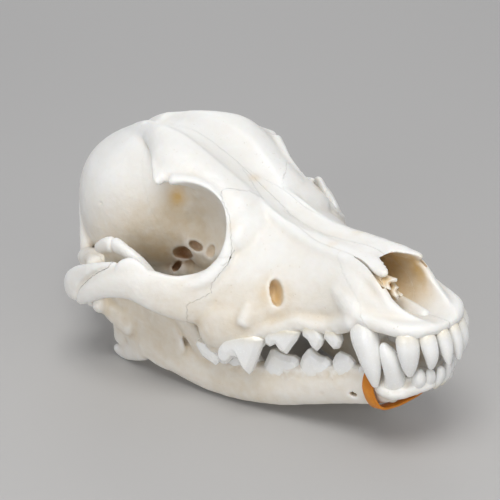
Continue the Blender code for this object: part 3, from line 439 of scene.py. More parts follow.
# Bone: near white and dry, creamier over the roots, stained by what once ran through it, with painted
# shade in its hollows and a painted highlight on its sharp edges; inside the nose its ochre is partly
# painted light, as if shining through the thin bone. Each piece is marked where it is hollow or sharp and
# where it is stained, and the finish follows those marks.
STAINS = {
    "cream": [
        ((63, 14, 27), 17, 0.75), ((50, 21, 22), 13, 0.85), ((72, 12, 40), 9, 0.35),
        ((38, 26, 22), 14, 0.55), ((26, 24, 20), 10, 0.35), ((52, 36, 22), 7, 0.8), ((101, 27, 5), 12, 0.6),
        ((84, 29, 3), 10, 0.7), ((116, 20, 6), 10, 0.4), ((80, 40, 12), 10, 0.3), ((148, 12, 4), 6, 0.35),
        ((70, 10, 0), 26, 0.7), ((20, 10, 6), 16, 0.6), ((100, 3, -4), 22, 0.6), ((130, 3, 0), 20, 0.6),
        ((60, 28, -6), 26, 0.55), ((40, 29, 0), 12, 0.6), ((95, 18, -22), 18, 0.45),
        ((126, 11, -19), 16, 0.4), ((148, 4, -18), 12, 0.45), ((88, 19, -16), 12, 0.5),
        ((2, 0, 18), 14, 0.4),
    ],
    "ochre": [
        ((61.9, 12.5, 38.3), 2.6, 1.0), ((66, 18, 43.6), 3.6, 0.55), ((60, 13, 36), 7, 0.25),
        ((87.5, 15.5, 30), 3, 0.3), ((112, 20, 13.5), 4, 0.6), ((111, 17, 12), 5, 0.6),
        ((147, 5.6, 15), 3.4, 0.95), ((149.5, 4.8, 12.6), 3.2, 0.9), ((149, 6.6, 17.6), 3, 0.9),
        ((93, 0, 41.4), 1.6, 0.35), ((98, 0, 38.4), 1.7, 0.35), ((104, 0, 35), 1.7, 0.3),
        ((110, 0, 32), 1.7, 0.25), ((148.6, 12, 2.6), 3, 0.8), ((88.1, 0.5, 43), 1.8, 0.3),
        ((126.2, 5.5, 26.2), 2, 0.25), ((96.4, 18.9, 33.5), 2.2, 0.3), ((130.4, 9.8, -19.4), 1.6, 0.7),
        ((129, 10, -19.6), 3, 0.3), ((33, 30, 3), 4, 0.2), ((108, 22.6, -1), 1.8, 0.6),
        ((140, 15.8, 2), 2.4, 0.35), ((160, 4.4, 0.6), 1.5, 0.4), ((51, 17, 18), 6, 0.3),
    ],
    "brown": [
        ((55, 10.4, 16.8), 3.8, 1.0), ((62.4, 10.2, 20.2), 2.8, 0.7), ((49.8, 10.8, 11.7), 2.7, 0.95),
        ((70, 10.8, 19), 2, 0.25), ((95, 26, -7), 3, 0.3), ((17, 18, 5.6), 4, 0.7),
        ((130, 8.8, -19.4), 1, 0.6), ((10, 0, 20), 12, 0.5), ((20, 0, 26), 14, 0.6),
    ],
}

# Stains inside the nose, which reach only the faces that look at their middle. Their ochre is partly
# painted light, for light shining through the thin bones.
NOSE_STAINS = {
    "cream": [((136, 0, 14), 14, 0.9), ((150, 0, 12), 8, 0.3)],
    "ochre": [((140, 2, 17), 9, 0.85), ((130, 0, 14), 12, 0.9)],
    "brown": [((116, 0, 13), 9, 0.5)],
}


def note(thing, name, values):
    """Keeps one number for each corner of a piece."""
    marks = thing.data.attributes.new(name, "FLOAT", "POINT")
    marks.data.foreach_set("value", np.asarray(values, dtype=np.float32))


FULL_HOLLOW = 0.35
EASE_ROUNDS = 30


def note_hollows(thing):
    """Marks hollows above nought and sharp edges below, from an eased copy of the surface."""
    points = corners_of(thing)
    ends = np.empty(len(thing.data.edges) * 2, dtype=np.int32)
    thing.data.edges.foreach_get("vertices", ends)
    start, end = ends.reshape(-1, 2).T
    count = len(points)
    shared = np.maximum(np.bincount(ends, minlength=count), 1)[:, None]
    eased = points.copy()
    for _ in range(EASE_ROUNDS):
        near = np.column_stack([
            np.bincount(start, eased[end, k], count) + np.bincount(end, eased[start, k], count)
            for k in range(3)])
        eased = (eased + near / shared) / 2
    note(thing, "hollow", ((eased - points) * corners_of(thing, "normal")).sum(axis=1) / (FULL_HOLLOW * MM))


def note_stains(thing):
    """Marks how strongly each stain reaches each corner, the same on both sides of the head."""
    points = corners_of(thing) / MM
    facing = corners_of(thing, "normal")
    beside = np.sign(points[:, 1])
    points[:, 1] *= beside
    facing[:, 1] *= beside
    for name, spots in STAINS.items():
        clear = np.ones(len(points))
        for centre, reach, strength in spots:
            far = np.linalg.norm(points - centre, axis=1) / reach
            clear *= 1.0 - strength * np.exp(-far**2)
        for centre, reach, strength in NOSE_STAINS[name]:
            away = points - centre
            far = np.linalg.norm(away, axis=1)
            looks = np.clip(-2.0 * (facing * away).sum(axis=1) / np.maximum(far, 0.1), 0, 1)
            clear *= 1.0 - strength * looks * np.exp(-(far / reach) ** 2)
        note(thing, name, 1.0 - clear)


def add_node(tree, kind, settings=None, **inputs):
    """A shader node with its settings, and with values or other nodes' outputs on its inputs."""
    node = tree.nodes.new(kind)
    for name, value in (settings or {}).items():
        setattr(node, name, value)
    for name, value in inputs.items():
        socket = node.inputs[int(name[1:])] if name[1:].isdigit() else node.inputs[name.replace("_", " ")]
        if isinstance(value, bpy.types.NodeSocket):
            tree.links.new(value, socket)
        else:
            socket.default_value = value
    return node


def mark(tree, name):
    """A piece's own mark, as a node output."""
    return add_node(tree, "ShaderNodeAttribute", {"attribute_name": name}).outputs["Fac"]


def sums(tree, operation, first, second, clamp=False):
    """Two numbers put together."""
    settings = {"operation": operation, "use_clamp": clamp}
    return add_node(tree, "ShaderNodeMath", settings, _0=first, _1=second).outputs[0]


def blend(tree, share, base, top):
    """One colour over another by a share."""
    node = add_node(tree, "ShaderNodeMix", {"data_type": "RGBA"}, _0=share)
    for socket, value in ((node.inputs[6], base), (node.inputs[7], top)):
        if isinstance(value, bpy.types.NodeSocket):
            tree.links.new(value, socket)
        else:
            socket.default_value = (*value, 1.0)
    return node.outputs[2]


def grain(tree, scale, detail=4.0, rough=0.55):
    """Cloudy noise through the piece, around a half."""
    place = add_node(tree, "ShaderNodeTexCoord").outputs["Object"]
    noise = add_node(tree, "ShaderNodeTexNoise", Vector=place, Scale=scale, Detail=detail, Roughness=rough)
    return noise.outputs[0]


def stretch(tree, value, low, high, least=0.0, most=1.0):
    """A number spread from one range over another, kept inside it."""
    return add_node(tree, "ShaderNodeMapRange", {"clamp": True}, Value=value, _1=low, _2=high, _3=least,
                    _4=most).outputs[0]


def new_material(name):
    """An empty finish, its tree and its shader."""
    material = bpy.data.materials.new(name)
    material.use_nodes = True
    return material, material.node_tree, material.node_tree.nodes["Principled BSDF"]


def dress(tree, shader, colour, rough, relief, depth):
    """Wires a finish: its colour, its roughness, its fine relief and how far light sinks in."""
    tree.links.new(colour, shader.inputs["Base Color"])
    tree.links.new(rough, shader.inputs["Roughness"])
    strength, distance, height = relief
    bump = add_node(tree, "ShaderNodeBump", Strength=strength, Distance=distance, Height=height)
    tree.links.new(bump.outputs["Normal"], shader.inputs["Normal"])
    for part, value in zip(("Weight", "Radius", "Scale"), depth):
        shader.inputs["Subsurface " + part].default_value = value


def bone_material():
    """Dry bone, with cloudy cream, ochre and brown stains, painted shade in its hollows, a painted highlight
    on its sharp edges, fine grain and a faint satin.
    """
    material, tree, shader = new_material("dry_bone")
    clouds = grain(tree, 70.0, 5.0, 0.6)
    patches = grain(tree, 210.0, 5.0, 0.65)
    fine = grain(tree, 900.0, 6.0, 0.6)
    hollow = mark(tree, "hollow")
    colour = blend(tree, stretch(tree, clouds, 0.35, 0.7), (0.885, 0.88, 0.85), (0.85, 0.83, 0.775))
    ragged = sums(tree, "MULTIPLY", sums(tree, "SUBTRACT", patches, 0.5), 1.3)
    ragged = sums(tree, "ADD", ragged, 1.0)
    # Cream stains, plus painted shade where the surface is hollow: the hollow mark darkens the bone towards
    # tan.
    cream = sums(tree, "ADD", sums(tree, "MULTIPLY", mark(tree, "cream"), ragged),
                 sums(tree, "MULTIPLY", hollow, 0.22), True)
    colour = blend(tree, cream, colour, (0.7, 0.6, 0.45))
    # The ochre is painted lighter than the stain alone: partly stain, partly painted light shining through
    # the thin bones inside the nose.
    for name, shade in (("ochre", (0.7, 0.47, 0.18)), ("brown", (0.3, 0.14, 0.05))):
        colour = blend(tree, sums(tree, "MULTIPLY", mark(tree, name), ragged, True), colour, shade)
    # Painted highlight: sharp edges, where the hollow mark falls below nought, are painted lighter.
    edge_highlight = stretch(tree, hollow, 0.0, -0.9)
    colour = blend(tree, sums(tree, "MULTIPLY", edge_highlight, 0.45), colour, (0.93, 0.92, 0.88))
    place = add_node(tree, "ShaderNodeTexCoord").outputs["Object"]
    cells = add_node(tree, "ShaderNodeTexVoronoi", {"feature": "F1"}, Vector=place, Scale=620.0)
    pore = sums(tree, "MULTIPLY", stretch(tree, cells.outputs["Distance"], 0.2, 0.08),
                stretch(tree, patches, 0.52, 0.66))
    colour = blend(tree, sums(tree, "MULTIPLY", pore, 0.35), colour, (0.5, 0.4, 0.28))
    rough = stretch(tree, sums(tree, "ADD", fine, sums(tree, "MULTIPLY", cream, 0.3)), 0.3, 1.0, 0.34, 0.62)
    height = sums(tree, "SUBTRACT", sums(tree, "ADD", fine, sums(tree, "MULTIPLY", patches, 1.6)),
                  sums(tree, "MULTIPLY", pore, 0.7))
    dress(tree, shader, colour, rough, (0.55, 0.00022, height), (0.12, (1.0, 0.7, 0.45), 0.0012))
    return material


bone = bone_material()


# The bones of the skull, parted along the sutures they grew together at: thin wavy cracks
# that run in through the bone.
def leaf_faces(grid):
    """The faces of a thin leaf: its front, its back and the edge between them."""
    quads = np.stack([grid[:-1, :-1], grid[:-1, 1:], grid[1:, 1:], grid[1:, :-1]], -1).reshape(-1, 4)
    edge = np.concatenate([grid[0, :-1], grid[:-1, -1], grid[-1, :0:-1], grid[:0:-1, 0]])
    after = np.roll(edge, -1)
    rim = np.column_stack([after, edge, edge + grid.size, after + grid.size])
    return quads.tolist() + (quads[:, ::-1] + grid.size).tolist() + rim.tolist()


def suture(name, outer, inner, thick=0.06, wave=0.25, rows=24, beyond=4.0):
    """A thin wavy sheet between a line on the bone and a line within it."""
    outer, inner = np.array(outer, dtype=float), np.array(inner, dtype=float)
    along = np.concatenate([[0.0], np.cumsum(np.linalg.norm(np.diff(outer, axis=0), axis=1))])
    count = max(8, int(along[-1] / 0.5))
    places = np.linspace(0, along[-1], count)
    lines = [np.column_stack([np.interp(places, along, line[:, k]) for k in range(3)])
             for line in (outer, inner)]
    depth = lines[1] - lines[0]
    length = np.linalg.norm(depth, axis=1)[:, None]
    share = np.linspace(0, 1, rows)[:, None, None]
    start = lines[0] - depth / length * beyond
    sheet = start[None] + (depth / length * (length + beyond))[None] * share
    ahead = np.gradient(lines[0], axis=0)
    normal = np.cross(ahead, depth)
    normal /= np.linalg.norm(normal, axis=1)[:, None]
    swing = np.sin(places * 2.9) + 0.7 * np.sin(places * 5.3 + 1.0) + 0.5 * np.sin(places * 9.1 + 2.0)
    swing = swing * wave
    sheet = sheet + (normal * swing[:, None])[None]
    front = sheet + normal[None] * thick / 2
    back = sheet - normal[None] * thick / 2
    corners = np.vstack([front.reshape(-1, 3), back.reshape(-1, 3)]) * MM
    return closed_mesh(name, corners.tolist(), leaf_faces(np.arange(rows * count).reshape(rows, count)))


def mirrored(line, side):
    """A line on one side of the head."""
    return [(x, y * side, z) for x, y, z in line]


def across(line, wide):
    """Two lines either side of the head through the same x and z."""
    return [(x, -wide, z) for x, z in line], [(x, wide, z) for x, z in line]


face_line = [
    (99.5, -1.5, 38.4), (97.5, 4.2, 37.8), (95, 5.1, 38.9), (93.7, 7.2, 41), (92.3, 10, 42.3),
    (90.7, 11.8, 43.3), (89.4, 13.3, 43.8), (89.1, 15.1, 43.1), (90.8, 16.4, 40.3), (92.3, 16.8, 38.6),
    (94.6, 17.8, 35.8), (96.6, 20.1, 32.1), (97.5, 21.8, 26.8), (97.1, 23.6, 23.4), (91.6, 22.8, 20.8),
    (90, 26.4, 15.2), (83.7, 31.9, 12.5), (82.8, 32, 8.8), (80.8, 31.2, 3), (77.4, 29, -4), (72, 22, -14),
]
face_inner = [
    (88, -1.2, 28.6), (86, -0.6, 30), (86, -0.6, 30), (85, -0.6, 31), (84, -0.6, 32), (83, -0.6, 32),
    (82, -0.6, 31), (81, -0.6, 30), (81, -0.6, 28), (81, -0.6, 27), (81, -0.6, 25), (81, -0.6, 22),
    (80, -0.6, 19), (79, -0.6, 16), (78, -0.6, 12), (77.4, -0.6, 9), (76.6, -0.6, 7), (76, -0.6, 4),
    (75, -0.6, 0), (74, -0.6, -5), (71, -0.6, -14),
]
cheek_line = [
    (97.9, 21.4, 26.6), (97.5, 22.6, 25), (97.1, 23.6, 23.4), (94.5, 26.2, 20.4), (93.5, 29.2, 17.9),
    (93.2, 30.2, 14.9), (90.5, 32.7, 13.6), (86.9, 35.7, 12.2), (86, 35.8, 8.5), (84, 35, 5), (82, 34, 1),
    (79.6, 32, -4),
]
INTO_CHEEK = (-0.649, -0.759, 0.054)
CHEEK_DEEP = 28
cheek_inner = [tuple(at + way * CHEEK_DEEP for at, way in zip(spot, INTO_CHEEK)) for spot in cheek_line]
nose_line = [
    (130.4, 4, 29), (131.4, 6.6, 25.4), (132, 8, 23.2), (135, 10, 21), (139, 11.5, 17.7), (143.6, 13, 13),
    (146, 13.2, 8.6), (148.6, 13, 4), (149.6, 12, -2), (149, 11, -8),
]
nose_inner = [
    (133, -0.6, 25), (133.6, -0.6, 23), (134, -0.6, 22), (136, -0.6, 20), (139, -0.6, 16.5),
    (143, -0.6, 12), (146, -0.6, 8), (148, -0.6, 4), (149, -0.6, -2), (149, -0.6, -8),
]
arch_line = [
    (33, 0), (38.4, 6), (42.3, 12.6), (45.5, 16.6), (50.3, 19.8), (56.9, 23.2), (62.6, 25.4), (64.8, 29),
    (65, 36),
]
nape = across([(1.5, 52), (3, 44), (7, 28), (11, 12), (14, 0), (15, -10)], 36)
crown = across([(49, 66), (50, 59), (54, 40), (57, 20), (62, 0), (64, -12)], 33)
middle = [(43.6, 80), (80, 66), (110, 50), (140, 40), (172, 30)], [
    (63, -16), (80, -16), (110, -16), (140, -16), (172, -16),
]


def middle_suture():
    """The thin sheet between the two halves of the head."""
    top, foot = ([(x, 0, z) for x, z in line] for line in middle)
    return suture("middle_suture", top, foot, thick=0.14, wave=0.08, rows=60, beyond=0)


sutures = [
    suture("nape_suture", *nape, thick=0.08, wave=0.3, rows=80, beyond=0),
    suture("crown_suture", *crown, thick=0.05, wave=0.2, rows=80, beyond=0),
    middle_suture(),
]
SIDE_SUTURES = {
    "face_suture": (face_line, face_inner, {"thick": 0.09, "wave": 0.16}),
    "cheek_suture": (cheek_line, cheek_inner, {"thick": 0.09, "wave": 0.16}),
    "rim_suture": ([(97.1, 22.1, 25.2), (94, 24, 25.2), (84, 32, 25)],
                   [(89, 8, 25.4), (84, 14, 25.2), (76, 26, 25)], {"wave": 0.06}),
    "floor_suture": ([(96.4, 19, 26.6), (90, 19, 26.8), (84, 19, 29), (68, 19, 29)],
                     [(94.6, 19, 22), (88.5, 19, 19), (84.4, 19, 16), (70, 19, 10)],
                     {"wave": 0.1, "beyond": 0}),
    "arch_suture": ([(x, 60, z) for x, z in arch_line], [(x, 28.4, z) for x, z in arch_line],
                    {"thick": 0.2, "wave": 0.1}),
    "nose_suture": (nose_line, nose_inner, {"wave": 0.12, "beyond": 8}),
    "socket_suture": ([(12, 29, 40), (33, 29, 40), (58, 29, 40)],
                      [(12, 29, -8), (33, 29, -8), (58, 29, -8)], {"beyond": 0}),
}
for side in SIDES.values():
    for name, (outer, inner, form) in SIDE_SUTURES.items():
        sutures.append(suture(name, mirrored(outer, side), mirrored(inner, side), **form))


def nose_wedge(spare):
    """The room of both nasal bones, which widens to the tip of the nose."""
    rows = [
        (83.6, 42.6, 0.8), (88, 42.3, 1.6), (92, 41.3, 3.3), (96, 39.3, 4.4), (104, 34.5, 4.7),
        (112, 30.8, 5.2), (120, 27.9, 6.5), (132, 25.1, 7), (140, 23.8, 7.4), (146, 22.6, 8.8),
        (156, 21, 10.5),
    ]
    rows = [(x, 0, z + 1, wide + spare, 4.4 + spare) for x, z, wide in rows]
    rows[0] = (rows[0][0] - spare, *rows[0][1:])
    return sweep("nose_wedge", rows, upright=True, square=7, count=40, round_=40)


def loose_parts(thing, count):
    """Parts an object into its closed shells and keeps the largest."""
    make_active(thing)
    bpy.ops.object.mode_set(mode="EDIT")
    bpy.ops.mesh.select_all(action="SELECT")
    bpy.ops.mesh.separate(type="LOOSE")
    bpy.ops.object.mode_set(mode="OBJECT")
    parts = sorted(bpy.context.selected_objects, key=lambda part: -len(part.data.polygons))
    for scrap in parts[count:]:
        bpy.data.objects.remove(scrap, do_unlink=True)
    return parts[:count]


def middle_of(thing):
    """The mean place of an object's corners, in millimetres."""
    return corners_of(thing).mean(axis=0) / MM


SHARP_ANGLE = math.radians(48)


def finish(thing, name, material, slot, *nodes):
    """Stands a finished piece in place, with its finish and the solids it stands for."""
    if "hollow" not in thing.data.attributes:
        note_hollows(thing)
    note_stains(thing)
    thing.name = name
    thing.data.name = name
    thing.data.transform(STAND)
    thing.data.materials.clear()
    thing.data.materials.append(material)
    make_active(thing)
    bpy.ops.object.shade_smooth_by_angle(angle=SHARP_ANGLE)
    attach(thing, "root")
    if nodes:
        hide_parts(*nodes)


note_hollows(skull)
deselect()
nose = skull.copy()
nose.data = skull.data.copy()
bpy.context.scene.collection.objects.link(nose)
combine(nose, [nose_wedge(0.0)], "INTERSECT")
combine(nose, [middle_suture()], "DIFFERENCE")
TIP_SLIT = [(137, 7.2, 23.6, 0.3, 2), (143, 8.2, 21.6, 0.45, 3), (151, 9.6, 18.6, 0.6, 4)]
slits = [sweep("tip_slit", TIP_SLIT, side) for side in SIDES.values()]
combine(skull, sutures + slits + [nose_wedge(0.09)], "DIFFERENCE")
BONES = {
    "occipital": ((5, 0, 20), "occipital_bone"), "parietal_vault": ((32, 0, 30), "braincase"),
    "frontal": ((70, 12, 32), "frontal_bone"), "maxilla": ((108, 16, 8), "upper_jaw"),
    "premaxilla": ((154, 7, 4), "incisive_bone"), "jugal": ((76, 38, 16), "cheekbone"),
    "temporal_arch": ((42, 42, 15), "arch_root"),
}
places = {}
for name, (place, node) in BONES.items():
    if place[1]:
        for side_name, side in SIDES.items():
            place_beside = (place[0], place[1] * side, place[2])
            places[name + "_" + side_name] = (place_beside, node + "_" + side_name)
    else:
        places[name] = (place, node)
parts = loose_parts(skull, len(places))
centres = [middle_of(part) for part in parts]
for name, (place, node) in places.items():
    nearest = min(range(len(parts)), key=lambda k: np.linalg.norm(centres[k] - place))
    finish(parts[nearest], name, bone, "bone", node)
nasals = loose_parts(nose, 2)
for part in nasals:
    side_name = "left" if middle_of(part)[1] > 0 else "right"
    finish(part, "nasal_" + side_name, bone, "bone", "nasal_bone_" + side_name)


# The thin bones inside the nose: the ridge along its floor, and on each side one leaf of bone
# that curls in from the wall. They grow from the upper jaw and end raggedly near the opening.
LEAF_START = 118
LEAF_GRAIN = 0.3
LEAF_EDGE = 0.3


def curl(name, rows, side, end):
    """A thin leaf through rows of y and z, which runs forward to a ragged end."""
    spots = np.array(rows, dtype=float)
    count, steps = len(spots), 30
    front = end + 0.9 * np.sin(spots[:, 0] * 2.3) + 1.1 * np.sin(spots[:, 1] * 2.1)
    x = LEAF_START + (front - LEAF_START) * np.linspace(0, 1, steps)[:, None]
    wander = 0.4 * np.sin(x * 0.5 + spots[:, 1] * 0.6)
    centre = np.stack([x, (spots[:, 0] + 0.6 * wander) * side, spots[:, 1] + wander - 0.1 * (x - 146)], -1)
    along = np.gradient(spots, axis=0)
    sideways = np.stack([np.zeros(count), -along[:, 1] * side, along[:, 0]], -1)
    sideways /= np.linalg.norm(sideways, axis=1)[:, None]
    corners = np.concatenate([centre + 0.6 * sideways, centre - 0.6 * sideways]).reshape(-1, 3) * MM
    return closed_mesh(name, corners.tolist(), leaf_faces(np.arange(steps * count).reshape(steps, count)))


ridge = sweep("nose_ridge", [
    (118, 0, 7.6, 1.5, 3.6), (132, 0, 7.2, 1.7, 3.4), (145, 0, 7, 2.2, 3.3), (151, 0, 6, 2.2, 2.6),
    (157, 0, 4.9, 1.8, 1.4),
], upright=True, square=1.6)
grow(ridge, LEAF_GRAIN, LEAF_EDGE)
finish(ridge, "nose_ridge", bone, "bone")
for side_name, side, end in (("right", -1.0, 151.0), ("left", 1.0, 134.0)):
    leaf = curl("nose_curl", [
        (8.6, 16.4), (7.6, 18), (6.4, 18.8), (5.3, 18.4), (4.8, 17.2), (5.1, 15.8), (5.9, 14.6),
        (6.3, 13.3), (5.8, 12.1), (4.7, 11.8), (4.1, 12.7), (4.6, 13.7),
    ], side, end)
    grow(leaf, LEAF_GRAIN, LEAF_EDGE)
    finish(leaf, "nose_curl_" + side_name, bone, "bone")


# The upper teeth: hard enamel crowns, whiter and glossier than the bone, yellower at the gum,
# each sunk by its root in its own socket. The front teeth are round pegs that end in a point,
# and the cheek teeth are flattened blades with a row of points.
def enamel_material():
    """Smooth enamel, white at the tips and old ivory at the neck, with painted shade in its hollows."""
    material, tree, shader = new_material("enamel")
    clouds = grain(tree, 260.0, 4.0)
    fine = grain(tree, 1500.0, 3.0)
    colour = blend(tree, stretch(tree, clouds, 0.35, 0.7), (0.9, 0.9, 0.88), (0.88, 0.87, 0.83))
    neck = sums(tree, "MULTIPLY", mark(tree, "root"), sums(tree, "ADD", clouds, 0.45), True)
    colour = blend(tree, neck, colour, (0.82, 0.76, 0.62))
    # Painted shade: the enamel is darkened towards brown where the tooth is hollow.
    colour = blend(tree, stretch(tree, mark(tree, "hollow"), 0.1, 1.4, 0.0, 0.5), colour, (0.66, 0.53, 0.34))
    rough = stretch(tree, fine, 0.3, 0.7, 0.16, 0.3)
    dress(tree, shader, colour, rough, (0.25, 0.0001, clouds), (0.15, (1.0, 0.85, 0.65), 0.001))
    shader.inputs["Coat Weight"].default_value = 0.35
    shader.inputs["Coat Roughness"].default_value = 0.12
    return material


enamel = enamel_material()
TOOTH_GRAIN = 0.2
TOOTH_EDGE = 0.35
UPPER_PEGS = {
    "incisor_1": (90, [
        (161.8, 2.1, 2.6, 1.2, 1), (163.3, 2.2, 1.4, 2.1, 1.9), (164.1, 2.2, -1.6, 2.2, 2),
        (164.3, 2.2, -4.8, 1.9, 1.7), (164.4, 2.2, -7.2, 1.1, 1.2), (164.3, 2.2, -8.9, 0.5, 0.6),
    ]),
    "incisor_2": (112, [
        (159.6, 6, 3, 1.5, 1.4), (161, 6.4, 1.6, 2.5, 2.4), (161.9, 6.6, -1.4, 2.7, 2.5),
        (162, 6.6, -5, 2.2, 2), (161.4, 6.6, -7.6, 1.2, 1.3), (161, 6.6, -9, 0.5, 0.6),
    ]),
    "incisor_3": (140, [
        (155.8, 9.6, 4, 1.8, 1.7), (157, 10.3, 2.6, 3.2, 3.2), (157.5, 10.8, 0, 3.5, 3.5),
        (157.2, 10.9, -4, 3, 3.1), (156.5, 10.9, -8, 1.8, 2), (156, 10.9, -10.6, 0.7, 0.7),
    ]),
    "canine": (180, [
        (139.4, 12.6, 12, 1.8, 2.4), (142.4, 13.6, 7.4, 2.7, 3.5), (143.4, 14.3, 3.8, 3.6, 4.5),
        (144, 14.8, 1, 3.7, 4.5), (144.6, 15, -2, 3.4, 4.1), (145, 15.2, -5.4, 3, 3.5),
        (145.1, 15.2, -9, 2.3, 2.6), (144.9, 15.1, -12, 1.5, 1.7), (144.7, 15, -14.4, 0.7, 0.8),
    ]),
}
UPPER_BLADES = {
    "premolar_1": [((131.4, 16, 0.6), -14, 1.9, [
        (-2.4, 2.4), (-3.4, -0.5), (-2.1, -2.5), (-0.6, -4.3), (1.5, -3.9), (3, -1.6), (2.6, 0.6),
        (1.8, 2.4),
    ])],
    "premolar_2": [((123.8, 18, 1.2), -18, 2, [
        (-2.6, 3), (-3.3, -0.9), (-1.6, -2.3), (-0.7, -4.7), (0.9, -6), (2.8, -4.3), (4, -2.1), (3.6, 0),
        (2.8, 3),
    ])],
    "premolar_3": [((113.4, 21.4, 0.4), -20, 2.3, [
        (-5.4, 2), (-6.5, -0.3), (-6.5, -3), (-5, -4), (-2.6, -3), (-1.4, -5.4), (0.7, -6.5), (2.6, -4.5),
        (5.2, -1.9), (7.3, 1.1), (6, 2.8),
    ])],
    "carnassial": [((99.6, 27, -1.6), -16, 3.1, [
        (7.6, 2.6), (9.1, 0.9), (7.8, -1.7), (5.2, -5.8), (2.2, -10.4), (1, -11.7), (-0.1, -10.4),
        (-1.1, -6.7), (-2.6, -6), (-4.3, -6), (-5.8, -7.4), (-7.4, -8.4), (-9.4, -8.2), (-10.4, -6.6),
        (-9.6, -3.6), (-7, -0.6),
    ]),
        ((104.4, 22.6, -1), -16, 2.4, [(-2, 4), (-2, -2), (0, -4), (2, -2), (2, 4)])],
    "molar_1": [((86.2, 29, -6), -6, 1.9, [
        (-5.6, 3), (-6.9, 1.4), (-5.9, -1), (-4.6, -3.3), (-2, -4.5), (0.3, -5.6), (2, -4.4), (2.6, -2),
        (1.4, 2),
    ]),
        ((85, 24.4, -5.2), -6, 4.6, [
            (-4.4, 5), (-4.8, -1), (-2.6, -3.2), (0, -1.8), (2.4, -3.4), (4.4, -1), (4.2, 5),
        ])],
    "molar_2": [((78, 21.6, -3.4), 4, 3.8, [
        (-2.8, 4), (-2.8, -1.4), (-1, -3.2), (1, -2.8), (2.6, -1.2), (2.6, 4),
    ])],
}


def peg_tooth(turn, rows, side):
    """A tooth with one root and one point."""
    row = (math.cos(math.radians(turn)), side * math.sin(math.radians(turn)), 0)
    return [sweep("peg", rows, side, up=row, count=16, round_=28, square=2.3)]


def blade(place, turn, thick, outline, side):
    """A flattened crown: its side outline, ahead and up from its place, thinner towards the points."""
    turn = math.radians(turn)
    start = np.array((place[0], side * place[1], place[2]))
    ahead = np.array((math.cos(turn), side * math.sin(turn), 0.0))
    over = np.array((-side * math.sin(turn), math.cos(turn), 0.0))
    outline = np.array(outline, dtype=float)
    root = np.array((outline[:, 0].mean(), outline[0, 1]))
    corners = []
    for off, share in ((-1, 0.5), (-0.8, 0.8), (-0.3, 0.98), (0.3, 0.98), (0.8, 0.8), (1, 0.5)):
        ring = root + (outline - root) * share
        corners.append(start + ring[:, :1] * ahead + ring[:, 1:] * (0, 0, 1) + off * thick * over)
    count = len(outline)
    turn_on = (np.arange(count) + 1) % count
    faces = [list(range(count)), list(range(5 * count, 6 * count))[::-1]]
    for ring in range(5):
        low, high = ring * count, (ring + 1) * count
        faces += [(low + k, high + k, high + turn_on[k], low + turn_on[k]) for k in range(count)]
    corners = (np.vstack(corners) * MM).tolist()
    return closed_mesh("blade", corners, [[int(k) for k in face] for face in faces])


def teeth(prefix, pegs, blades, gum):
    """Both sides of one jaw's teeth, as finished pieces."""
    for side_name, side in SIDES.items():
        kit = {name: peg_tooth(turn, rows, side) for name, (turn, rows) in pegs.items()}
        for name, plates in blades.items():
            kit[name] = [blade(*plate, side) for plate in plates]
        for name, forms in kit.items():
            tooth = forms[0] if len(forms) == 1 else combine(forms[0], forms[1:], "UNION")
            grow(tooth, TOOTH_GRAIN, TOOTH_EDGE)
            height = corners_of(tooth)[:, 2] * gum
            share = (height - height.min()) / np.ptp(height)
            note(tooth, "root", np.clip((share - 0.62) / 0.3, 0, 1) ** 1.5)
            finish(tooth, prefix + "_" + name + "_" + side_name, enamel, "bone")


teeth("upper", UPPER_PEGS, UPPER_BLADES, 1)


